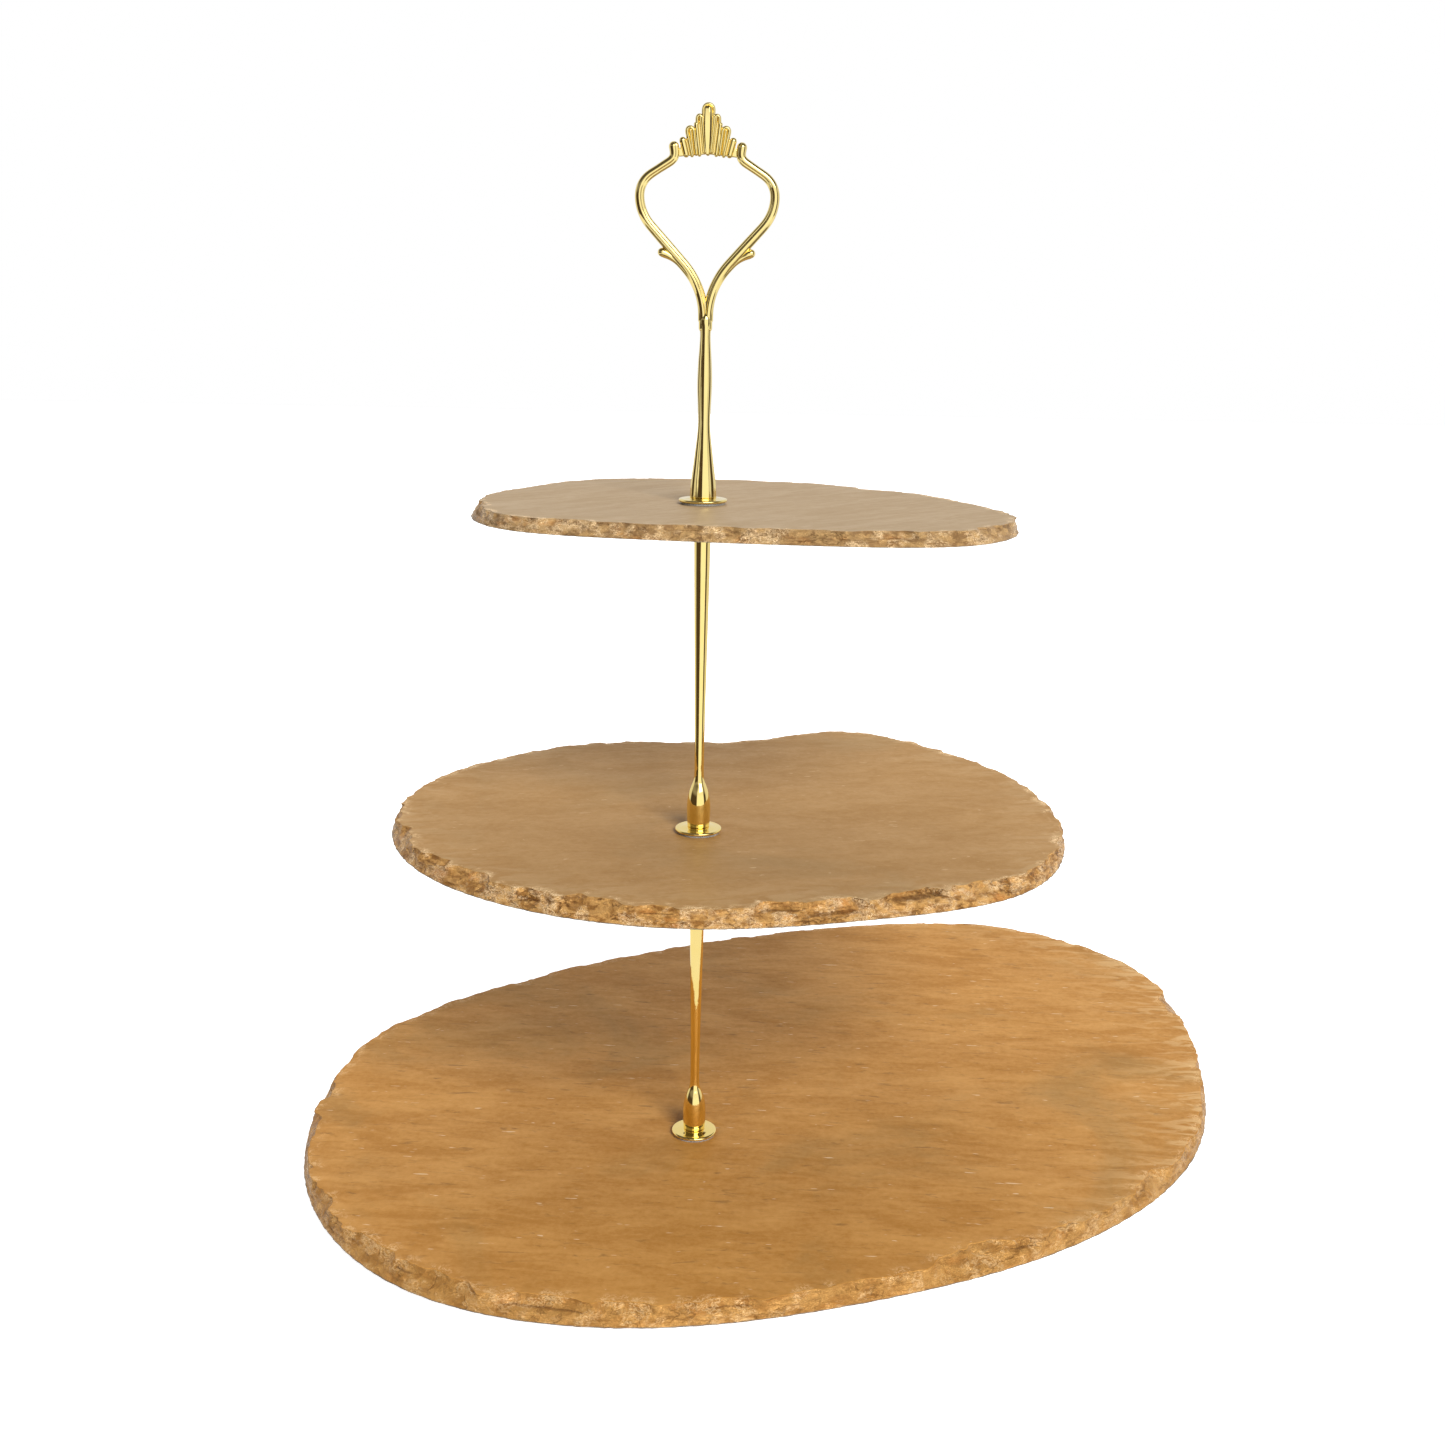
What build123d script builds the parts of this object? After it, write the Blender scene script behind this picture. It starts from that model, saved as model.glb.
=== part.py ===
from build123d import *
import math
import os

# Three-tier slate cake stand, millimetres, +Z up, feet on z = 0.
# The origin is the middle of the bottom slate's footprint; the post stands off it.
post_x = -35.8
post_y = -56.3

# Slates: thickness, slope of the chipped edge, hole for the stud
bottom_t = 6.4
middle_t = 6.0
top_t = 4.8
edge_slope = 2.6
hole_r = 3.0

# Outlines of the slates' undersides, seen from above, measured from the post
bottom_outline = [
    (215, 88), (208, 174), (150, 225), (60, 219), (-30, 182), (-88, 142), (-133, 94),
    (-149, 25), (-134, -48), (-92, -98), (-25, -117), (57, -101), (130, -66), (190, -2),
]
middle_outline = [
    (136, 14), (133, 67), (110, 115), (62, 152), (12, 131), (-36, 128), (-89, 95),
    (-115, 34), (-101, -24), (-60, -65), (0, -82), (58, -71), (109, -46),
]
top_outline = [
    (106, -22), (97, 16), (77, 46), (44, 72), (0, 83), (-42, 75),
    (-69, 43), (-80, 0), (-65, -38), (-20, -56), (40, -64), (86, -57),
]

# Large chips knapped out of the upper edges: place on the outline and reach into the face
bottom_chips = [(-108, -84, 8), (96, -84, 9), (166, -30, 7), (211, 130, 6)]
middle_chips = [(-34, -76, 5), (36, -78, 6), (88, -58, 6), (-108, -8, 4)]
top_chips = [(-44, -50, 4), (58, -64, 4), (66, 58, 4)]
chip_r = 26.0

# Feet
foot_h = 6.0
foot_r = 6.5
foot_places = {
    "foot_front_left": (-98, -48),
    "foot_front_right": (112, -44),
    "foot_back_right": (168, 150),
    "foot_back_left": (-64, 112),
}

# Clear gaskets and domed washers
gasket_t = 0.8
gasket_r = 7.9
gasket_hole_r = 2.4
seat_gasket_r = 6.5
washer_r = 8.45
washer_t = 1.5
washer_rim = 0.9
washer_flat_r = 5.0
washer_hole_r = 2.35

# Threaded joints, drawn plain at their outer size
stud_r = 1.95
thread_gap = 0.05
bore_r = stud_r + thread_gap
bore_depth = 14.0
engagement = 10.0
stud_set = 8.0
screw_head_r = 5.5
screw_head_t = 2.0
slot_w = 1.2
slot_d = 1.0
base_washer_t = 1.0
base_washer_r = 8.0

# Rods: bell foot, neck, taper up to the seat under the slate
rod_len = 111.0
bell_foot_r = 3.9
bell_r = 4.2
bell_z = 5.5
bell_shoulder_r = 3.6
bell_shoulder_z = 11.5
throat_r = 2.1
throat_z = 16.0
neck_r = 1.6
neck_z = 21.0
rod_top_r = 2.9
swell = 0.1
seat_r = 4.6
seat_t = 2.0

# Handle: a fluted stem under a fork, two arms closing a finger loop, a bud on each arm and a crown
handle_h = 129.0
crown_h = 18.0
stem_sides = 12
# Radius of the stem, and where along its length
stem_rings = [
    (4.6, 0), (4.4, 0.1), (3.5, 0.23), (2.85, 0.345), (2.5, 0.49),
    (2.72, 0.655), (2.3, 0.835), (2.05, 0.92), (2.6, 1.01), (2.3, 1.08),
]
arm_sides = 12
arm_r = 1.75
arm_x = 0.5
fork_r = 26.0
fork_turn = 42.3
arm_straight = 17.0
shoulder_r = 13.7
bow_r = 8.0
bow_turn = 57.0
arm_end = 9.4
bud_sides = 8
bud_r = 1.15
bud_x = 1.7
bud_rise = 1.5
bud_bend_r = 22.0
bud_turn = 66.0
bud_tip_r = 1.35
bud_root_r = 1.0
bud_len = 3.6
bud_half = 1.15
# Crown, with heights over the ends of the arms
back_half = 0.6
lance_r = 2.2
lance_foot_r = 0.7
lance_foot_z = 2.2
lance_half = 1.7
rib_r = 0.9
rib_foot_r = 0.4
rib_half = 2.1
groove_wall = 0.55
groove_depth = 0.45
# Rays of the crown on one side: tip x, tip z, tip radius, root x, root z, root radius, half depth
crown_rays = [
    (2.6, 13.6, 1.15, 1.2, 7.5, 0.8, 1.1),
    (3.9, 11.4, 0.75, 1.7, 4.5, 0.6, 0.8),
    (7.8, 6.3, 0.95, 6.5, 2.0, 0.8, 1.0),
    (10.6, 5.1, 1.35, 9.7, 0.4, 1.35, 1.4),
]
looped_ray = (5.8, 9.3, 1.40, 3.7, 2.6, 1.1, 1.3)
# Backing sheet of the crown on one side, from the lance out to the arm, and the top of the arch below it
back_outline = [(0, 14.0), (2.6, 13.6), (5.8, 9.3), (7.8, 6.3), (10.2, 4.5), (9.7, 0.8)]
back_arch_z = 2.2

# Heights of the stack
bottom_z = foot_h
bottom_top = bottom_z + bottom_t
lower_gasket_z = bottom_top
lower_washer_z = lower_gasket_z + gasket_t
lower_rod_z = lower_washer_z + washer_t
lower_seat_z = lower_rod_z + rod_len
middle_z = lower_seat_z + gasket_t
middle_top = middle_z + middle_t
upper_gasket_z = middle_top
upper_washer_z = upper_gasket_z + gasket_t
upper_rod_z = upper_washer_z + washer_t
upper_seat_z = upper_rod_z + rod_len
top_z = upper_seat_z + gasket_t
top_top = top_z + top_t
handle_gasket_z = top_top
handle_washer_z = handle_gasket_z + gasket_t
handle_z = handle_washer_z + washer_t
base_gasket_z = bottom_z - gasket_t
base_washer_z = base_gasket_z - base_washer_t

# Heights of the handle: the arms rise from the fork to the crown, and the stem takes up the rest
fork_angle = math.radians(fork_turn)
bow_angle = math.radians(bow_turn)
arm_rise = (fork_r + shoulder_r) * math.sin(fork_angle) + arm_straight * math.cos(fork_angle)
loop_h = arm_rise + bow_r * math.sin(bow_angle) + arm_end * math.cos(bow_angle)
crown_z = handle_z + handle_h - crown_h
fork_z = crown_z - loop_h
stem_h = fork_z - handle_z

os.makedirs("parts", exist_ok=True)


# Plane across the post at height z
def level(z):
    return Plane((post_x, post_y, z))


# Upright plane through the post, facing the front, with its own zero at height z
def facing(z):
    return Plane((post_x, post_y, z), x_dir=(1, 0, 0), z_dir=(0, -1, 0))


# Middle of an outline's box
def middle(points):
    xs = [x for x, y in points]
    ys = [y for x, y in points]
    return (max(xs) + min(xs)) / 2, (max(ys) + min(ys)) / 2


# The outline's points drawn towards its middle by the inset
def drawn_in(points, inset):
    mx, my = middle(points)
    result = []
    for x, y in points:
        k = 1 - inset / math.hypot(x - mx, y - my)
        result.append((mx + k * (x - mx), my + k * (y - my)))
    return result


def save(builder, label):
    builder.part.label = label
    export_step(builder.part, f"parts/{label}.step")


# Slate: its outline lofted to a slightly smaller one above, chips bitten out of the upper edge, a hole
def slate(label, outline, z, thickness, chips):
    mx, my = middle(outline)
    with BuildPart() as plate:
        with BuildSketch(level(z)):
            with BuildLine():
                Spline(*outline, periodic=True)
            make_face()
        with BuildSketch(level(z + thickness)):
            with BuildLine():
                Spline(*drawn_in(outline, edge_slope), periodic=True)
            make_face()
        loft(ruled=True)
        for x, y, reach in chips:
            k = 1 + edge_slope / math.hypot(x - mx, y - my)
            lift = math.sqrt(chip_r ** 2 - (reach + edge_slope) ** 2)
            with Locations((post_x + mx + k * (x - mx), post_y + my + k * (y - my), z + thickness + lift)):
                Sphere(chip_r, mode=Mode.SUBTRACT)
        with BuildSketch(level(z)):
            Circle(hole_r)
        extrude(amount=thickness, mode=Mode.SUBTRACT)
    save(plate, label)


def ring(label, z, thickness, outer, inner):
    with BuildPart() as disc:
        with BuildSketch(level(z)):
            Circle(outer)
            Circle(inner, mode=Mode.SUBTRACT)
        extrude(amount=thickness)
    save(disc, label)


# Washer: flat under the foot, sloping down to its rim
def domed_washer(label, z):
    with BuildPart() as washer:
        with BuildSketch(facing(z)):
            with BuildLine():
                Polyline((washer_hole_r, 0), (washer_r, 0), (washer_r, washer_rim), (washer_flat_r, washer_t),
                         (washer_hole_r, washer_t), close=True)
            make_face()
        revolve(axis=Axis((post_x, post_y, 0), (0, 0, 1)))
    save(washer, label)


# Rod: bell foot, thin neck, gentle swell up to the seat; bored at both ends
def rod(label, z):
    swell_z = (neck_z + rod_len) / 2
    swell_r = (neck_r + rod_top_r) / 2 + swell
    with BuildPart() as casting:
        with BuildSketch(facing(z)):
            with BuildLine():
                Line((0, 0), (bell_foot_r, 0))
                ThreePointArc((bell_foot_r, 0), (bell_r, bell_z), (bell_shoulder_r, bell_shoulder_z))
                ThreePointArc((bell_shoulder_r, bell_shoulder_z), (throat_r, throat_z), (neck_r, neck_z))
                Spline((neck_r, neck_z), (swell_r, swell_z), (rod_top_r, rod_len - seat_t))
                Polyline((rod_top_r, rod_len - seat_t), (seat_r, rod_len - seat_t), (seat_r, rod_len),
                         (0, rod_len), (0, 0))
            make_face()
        revolve(axis=Axis((post_x, post_y, 0), (0, 0, 1)))
        with BuildSketch(level(z)):
            Circle(bore_r)
        extrude(amount=bore_depth, mode=Mode.SUBTRACT)
        with BuildSketch(level(z + rod_len)):
            Circle(bore_r)
        extrude(amount=-stud_set, mode=Mode.SUBTRACT)
    save(casting, label)


# Stud: set into the rod's top, up through the slate into the piece above
def stud(label, seat_z, stack):
    with BuildPart() as pin:
        with BuildSketch(level(seat_z - stud_set)):
            Circle(stud_r)
        extrude(amount=stud_set + stack + engagement)
    save(pin, label)


# Bottom tier
slate("bottom_plate", bottom_outline, bottom_z, bottom_t, bottom_chips)

for label, (x, y) in foot_places.items():
    with BuildPart() as foot:
        with BuildSketch(Plane.XY):
            with Locations((post_x + x, post_y + y)):
                Circle(foot_r)
        extrude(amount=foot_h)
    save(foot, label)

ring("base_gasket", base_gasket_z, gasket_t, gasket_r, gasket_hole_r)
ring("base_washer", base_washer_z, base_washer_t, base_washer_r, washer_hole_r)

with BuildPart() as base_screw:
    with BuildSketch(level(base_washer_z - screw_head_t)):
        Circle(screw_head_r)
    extrude(amount=screw_head_t)
    with BuildSketch(level(base_washer_z - screw_head_t)):
        Rectangle(2 * screw_head_r, slot_w)
    extrude(amount=slot_d, mode=Mode.SUBTRACT)
    with BuildSketch(level(base_washer_z)):
        Circle(stud_r)
    extrude(amount=lower_rod_z + engagement - base_washer_z)
save(base_screw, "base_screw")

# Lower rod with what it carries, then the middle slate
ring("lower_rod_gasket", lower_gasket_z, gasket_t, gasket_r, gasket_hole_r)
domed_washer("lower_rod_washer", lower_washer_z)
rod("lower_rod", lower_rod_z)
stud("lower_rod_stud", lower_seat_z, upper_rod_z - lower_seat_z)
ring("middle_seat_gasket", lower_seat_z, gasket_t, seat_gasket_r, gasket_hole_r)
slate("middle_plate", middle_outline, middle_z, middle_t, middle_chips)

# Upper rod with what it carries, then the top slate
ring("upper_rod_gasket", upper_gasket_z, gasket_t, gasket_r, gasket_hole_r)
domed_washer("upper_rod_washer", upper_washer_z)
rod("upper_rod", upper_rod_z)
stud("upper_rod_stud", upper_seat_z, handle_z - upper_seat_z)
ring("top_seat_gasket", upper_seat_z, gasket_t, seat_gasket_r, gasket_hole_r)
slate("top_plate", top_outline, top_z, top_t, top_chips)

# Handle with its washer
ring("handle_gasket", handle_gasket_z, gasket_t, gasket_r, gasket_hole_r)
domed_washer("handle_washer", handle_washer_z)

fork_plane = facing(fork_z)
crown_plane = facing(crown_z)


# Outline around two circles: the shape of a ray, a bud or the lance
def drop(plane, tip, tip_r, root, root_r):
    with BuildSketch(plane) as outline:
        with Locations(tip):
            Circle(tip_r)
        with Locations(root):
            Circle(root_r)
        make_hull()
    return outline.sketch


with BuildPart() as crown_handle:
    # Stem: twelve flutes, flared at the foot, with a collar under the fork
    for r, share in stem_rings:
        with BuildSketch(level(handle_z + share * stem_h)):
            RegularPolygon(r, stem_sides)
    loft(ruled=True)
    for side in (1, -1):
        # Arm: out of the fork, straight to the shoulder, round the bow and in to the crown
        with BuildLine(fork_plane) as arm_path:
            fork = JernArc((side * arm_x, 0), (0, 1), fork_r, -side * fork_turn)
            straight = Line(fork @ 1, fork @ 1 + arm_straight * (fork % 1))
            shoulder = JernArc(straight @ 1, straight % 1, shoulder_r, side * fork_turn)
            bow = JernArc(shoulder @ 1, shoulder % 1, bow_r, side * bow_turn)
            Line(bow @ 1, bow @ 1 + arm_end * (bow % 1))
        with BuildSketch(Plane(arm_path.line @ 0, x_dir=(0, 1, 0), z_dir=arm_path.line % 0)):
            RegularPolygon(arm_r, arm_sides)
        sweep(path=arm_path.line)
        # Bud: a thinner strand along the arm's outside that breaks away and ends in a knob
        with BuildLine(fork_plane) as bud_path:
            JernArc((side * bud_x, bud_rise), (0, 1), bud_bend_r, -side * bud_turn)
        with BuildSketch(Plane(bud_path.line @ 0, x_dir=(0, 1, 0), z_dir=bud_path.line % 0)):
            RegularPolygon(bud_r, bud_sides)
        sweep(path=bud_path.line)
        tip = fork_plane.to_local_coords(bud_path.line @ 1)
        turn = math.radians(bud_turn)
        root = (tip.X - side * bud_len * math.sin(turn), tip.Y - bud_len * math.cos(turn))
        extrude(drop(fork_plane, (tip.X, tip.Y), bud_tip_r, root, bud_root_r), amount=bud_half, both=True)
        # Rays: bars with round ends, fanning out from the lance
        for tip_x, tip_z, tip_r, root_x, root_z, root_r, half in crown_rays + [looped_ray]:
            ray = drop(crown_plane, (side * tip_x, tip_z), tip_r, (side * root_x, root_z), root_r)
            extrude(ray, amount=half, both=True)
    # Lance leaf in the middle of the crown, with its rib
    lance_tip = (0, crown_h - lance_r)
    lance_foot = (0, lance_foot_z)
    extrude(drop(crown_plane, lance_tip, lance_r, lance_foot, lance_foot_r), amount=lance_half, both=True)
    extrude(drop(crown_plane, lance_tip, rib_r, lance_foot, rib_foot_r), amount=rib_half, both=True)
    # Backing sheet that the rays stand out of, arched above the loop
    mirrored = [(-x, z) for x, z in back_outline]
    with BuildSketch(crown_plane):
        with BuildLine():
            Polyline(*back_outline)
            ThreePointArc(back_outline[-1], (0, back_arch_z), mirrored[-1])
            Polyline(*mirrored)
        make_face()
    extrude(amount=back_half, both=True)
    # Grooves sunk into the looped rays, front and back
    tip_x, tip_z, tip_r, root_x, root_z, root_r, half = looped_ray
    for side in (1, -1):
        for face in (1, -1):
            sunk = crown_plane.offset(face * (half - groove_depth))
            groove = drop(sunk, (side * tip_x, tip_z), tip_r - groove_wall,
                          (side * root_x, root_z), root_r - groove_wall)
            extrude(groove, amount=face * groove_depth, mode=Mode.SUBTRACT)
    # Threaded bore in the foot
    with BuildSketch(level(handle_z)):
        Circle(bore_r)
    extrude(amount=bore_depth, mode=Mode.SUBTRACT)
save(crown_handle, "crown_handle")
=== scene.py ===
import math

import bmesh
import bpy
import numpy as np
from mathutils import Matrix, Vector


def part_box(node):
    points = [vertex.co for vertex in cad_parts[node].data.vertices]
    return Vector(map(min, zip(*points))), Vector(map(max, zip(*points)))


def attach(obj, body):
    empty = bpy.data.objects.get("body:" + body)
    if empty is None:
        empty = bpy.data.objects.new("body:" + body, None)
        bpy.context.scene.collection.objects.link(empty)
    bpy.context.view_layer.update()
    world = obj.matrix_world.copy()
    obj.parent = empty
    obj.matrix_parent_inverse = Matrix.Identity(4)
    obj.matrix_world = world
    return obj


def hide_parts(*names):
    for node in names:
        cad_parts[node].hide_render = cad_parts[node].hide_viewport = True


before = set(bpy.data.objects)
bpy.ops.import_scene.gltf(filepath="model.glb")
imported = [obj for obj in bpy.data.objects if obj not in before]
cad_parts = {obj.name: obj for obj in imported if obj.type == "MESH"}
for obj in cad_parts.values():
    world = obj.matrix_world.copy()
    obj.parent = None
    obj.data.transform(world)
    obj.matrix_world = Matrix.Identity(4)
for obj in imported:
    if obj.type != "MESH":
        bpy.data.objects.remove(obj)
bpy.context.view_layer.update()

# Tiered cake stand: gold-painted slates on a screwed post of polished castings.
# Sizes below are millimetres; everything is laid in the frame's metres when a mesh is made.
mm = 0.001
weldDistance = 2e-7  # metres


# A node's box, its two corners in millimetres
def boxOf(node):
    low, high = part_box(node)
    return np.array(low) / mm, np.array(high) / mm


postLow, postHigh = boxOf("lower_rod")
postX, postY = ((postLow + postHigh) / 2)[:2]


# Underside and top of a node
def levels(node):
    low, high = boxOf(node)
    return low[2], high[2]


# Cells of a grid of points as quads, running round where a parameter is closed
def gridFaces(rows, columns, closeRows, closeColumns):
    rowStarts = np.arange(rows - (not closeRows))
    columnStarts = np.arange(columns - (not closeColumns))
    i, j = np.meshgrid(rowStarts, columnStarts, indexing="ij")
    i2 = (i + 1) % rows
    j2 = (j + 1) % columns
    corners = [i * columns + j, i2 * columns + j, i2 * columns + j2, i * columns + j2]
    return np.stack(corners, -1).reshape(-1, 4)


# One object from one or more grids: poles are welded, normals turned outwards, and a shell's values are kept
# as point attributes
def makePiece(name, shells, material, body, nodes):
    points, faces = [], []
    values = {}
    count = 0
    for shell in shells:
        grid = shell["grid"]
        rows, columns = grid.shape[:2]
        cells = gridFaces(rows, columns, shell.get("closeRows", True), shell.get("closeColumns", True))
        points.append(grid.reshape(-1, 3) * mm)
        faces.append(cells + count)
        for key, value in shell.get("values", {}).items():
            values.setdefault(key, []).append(value.reshape(-1))
        count += rows * columns
    mesh = bpy.data.meshes.new(name)
    mesh.from_pydata(np.concatenate(points), [], np.concatenate(faces).tolist())
    mesh.polygons.foreach_set("use_smooth", np.ones(len(mesh.polygons), bool))
    for key, parts in values.items():
        layer = mesh.attributes.new(name=key, type="FLOAT", domain="POINT")
        layer.data.foreach_set("value", np.concatenate(parts).astype(np.float32))
    work = bmesh.new()
    work.from_mesh(mesh)
    bmesh.ops.remove_doubles(work, verts=work.verts, dist=weldDistance)
    bmesh.ops.recalc_face_normals(work, faces=work.faces)
    work.to_mesh(mesh)
    work.free()
    mesh.materials.append(material)
    piece = bpy.data.objects.new(name, mesh)
    bpy.context.scene.collection.objects.link(piece)
    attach(piece, body)
    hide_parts(*nodes)
    print("made", name, len(mesh.polygons), "faces")


# Curve through points: cubic pieces whose slopes come from the neighbouring points
def throughPoints(knots, heights, at):
    knots = np.array(knots, float)
    heights = np.array(heights, float)
    slopes = np.gradient(heights, knots)
    k = np.clip(np.searchsorted(knots, at, side="right") - 1, 0, len(knots) - 2)
    span = knots[k + 1] - knots[k]
    t = (at - knots[k]) / span
    start = (1 + 2 * t) * (1 - t) ** 2 * heights[k] + t * (1 - t) ** 2 * span * slopes[k]
    end = t ** 2 * (3 - 2 * t) * heights[k + 1] + t ** 2 * (t - 1) * span * slopes[k + 1]
    return start + end


# Closed profile with each corner swapped for a short arc: a quadratic curve between points set back along
# both sides, by no more than a share of each
def bevelled(corners, sizes, steps=6, most=0.48):
    corners = np.array(corners, float)
    before = np.roll(corners, 1, 0) - corners
    after = np.roll(corners, -1, 0) - corners
    sizes = np.array(sizes, float)[:, None]
    first = corners + before * np.minimum(sizes / np.linalg.norm(before, axis=1, keepdims=True), most)
    last = corners + after * np.minimum(sizes / np.linalg.norm(after, axis=1, keepdims=True), most)
    t = np.linspace(0, 1, steps)[None, :, None]
    arcs = (1 - t) ** 2 * first[:, None] + 2 * t * (1 - t) * corners[:, None] + t ** 2 * last[:, None]
    return arcs.reshape(-1, 2)


# Turned surface: a closed profile of radius and height spun round an upright axis
def turned(profile, sides=128, x=postX, y=postY):
    angle = np.linspace(0, 2 * np.pi, sides, endpoint=False)[:, None]
    r, z = profile[:, 0][None], profile[:, 1][None]
    return np.stack([x + r * np.cos(angle), y + r * np.sin(angle), z + 0 * angle], -1)


# Smooth random values on a lattice that runs round in the first direction
def latticeNoise(along, up, cellsAlong, cellsUp, seed):
    table = np.random.default_rng(seed).uniform(-1, 1, (cellsAlong, cellsUp + 2))
    i = np.floor(along * cellsAlong).astype(int)
    j = np.clip(np.floor(up * cellsUp).astype(int), 0, cellsUp)
    a = along * cellsAlong - i
    b = up * cellsUp - j
    a = a * a * (3 - 2 * a)
    b = b * b * (3 - 2 * b)
    i0, i1 = i % cellsAlong, (i + 1) % cellsAlong
    low = table[i0, j] * (1 - a) + table[i1, j] * a
    high = table[i0, j + 1] * (1 - a) + table[i1, j + 1] * a
    return low * (1 - b) + high * b


# Node helpers: an input that is a socket is linked, any other is set
def fill(tree, node, inputs):
    for key, value in inputs.items():
        if isinstance(value, bpy.types.NodeSocket):
            tree.links.new(value, node.inputs[key])
        else:
            node.inputs[key].default_value = value
    return node


def addNode(tree, kind, inputs=None, **settings):
    node = tree.nodes.new("ShaderNode" + kind)
    for key, value in settings.items():
        setattr(node, key, value)
    return fill(tree, node, inputs or {})


def calc(tree, operation, a, b=0.0, c=0.0):
    return addNode(tree, "Math", {0: a, 1: b, 2: c}, operation=operation).outputs[0]


def ramped(tree, value, low, high, toLow=0.0, toHigh=1.0):
    limits = {0: value, 1: low, 2: high, 3: toLow, 4: toHigh}
    return addNode(tree, "MapRange", limits, interpolation_type="SMOOTHSTEP").outputs[0]


def mixed(tree, share, first, second):
    return addNode(tree, "Mix", {0: share, 6: first, 7: second}, data_type="RGBA").outputs[2]


def between(tree, share, first, second):
    return addNode(tree, "Mix", {0: share, 2: first, 3: second}, data_type="FLOAT").outputs[0]


def stretched(tree, vector, factors):
    return addNode(tree, "VectorMath", {0: vector, 1: factors}, operation="MULTIPLY").outputs[0]


def noise(tree, vector, scale, detail=4.0, roughness=0.55, distortion=0.0):
    grain = {"Vector": vector, "Scale": scale, "Detail": detail, "Roughness": roughness,
             "Distortion": distortion}
    return addNode(tree, "TexNoise", grain).outputs[0]


# Node group with a vector and some numbers going in, and values coming out
def newGroup(name, numbers, outputs):
    group = bpy.data.node_groups.new(name, "ShaderNodeTree")
    group.interface.new_socket(name="Vector", in_out="INPUT", socket_type="NodeSocketVector")
    for label, value in numbers.items():
        socket = group.interface.new_socket(name=label, in_out="INPUT", socket_type="NodeSocketFloat")
        socket.default_value = value
    for label in outputs:
        group.interface.new_socket(name=label, in_out="OUTPUT", socket_type="NodeSocketFloat")
    return group, group.nodes.new("NodeGroupInput").outputs, group.nodes.new("NodeGroupOutput").inputs


def setOutputs(group, result, **values):
    for label, value in values.items():
        group.links.new(value, result[label])
    return group


def useGroup(tree, group, **inputs):
    node = tree.nodes.new("ShaderNodeGroup")
    node.node_tree = group
    return fill(tree, node, inputs).outputs


# Brushed paint over riven stone: short streaks drawn out along one direction, softer patches between them,
# cloudy shadows, dark smears, and small pale ticks and specks
def brushedPaintGroup():
    group, given, result = newGroup("brushedPaint", dict(Turn=0.0, Along=45.0, Across=400.0), [
        "Streak", "Patch", "Grain", "Cloud", "Smear", "Tick", "Speck", "Height"])
    place = given["Vector"]
    turn = {"Vector": place, "Angle": given["Turn"]}
    turnedPlace = addNode(group, "VectorRotate", turn, rotation_type="Z_AXIS").outputs[0]
    pace = {0: given["Along"], 1: given["Across"], 2: given["Along"]}
    drawn = stretched(group, turnedPlace, addNode(group, "CombineXYZ", pace).outputs[0])
    broad = stretched(group, drawn, (0.45, 0.36, 0.45))
    short = stretched(group, drawn, (2.2, 2.8, 2.2))
    thin = stretched(group, drawn, (2.6, 4.6, 2.6))
    streak = noise(group, drawn, 1.0, detail=6.0, roughness=0.62, distortion=1.1)
    patch = noise(group, broad, 1.0, distortion=0.9)
    cloud = noise(group, place, 13.0, detail=5.0, roughness=0.6, distortion=0.8)
    smear = noise(group, short, 1.0, roughness=0.62, distortion=0.6)
    tick = noise(group, thin, 1.0, detail=2.0, roughness=0.5)
    grain = noise(group, place, 420.0, detail=6.0, roughness=0.68)
    speck = noise(group, place, 330.0, detail=1.0, roughness=0.4)
    height = calc(group, "MULTIPLY_ADD", streak, 0.6, calc(group, "MULTIPLY", grain, 0.5))
    height = calc(group, "MULTIPLY_ADD", patch, 0.5, height)
    return setOutputs(group, result, Streak=streak, Patch=patch, Grain=grain, Cloud=cloud, Smear=smear,
                      Tick=tick, Speck=speck, Height=height)


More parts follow.
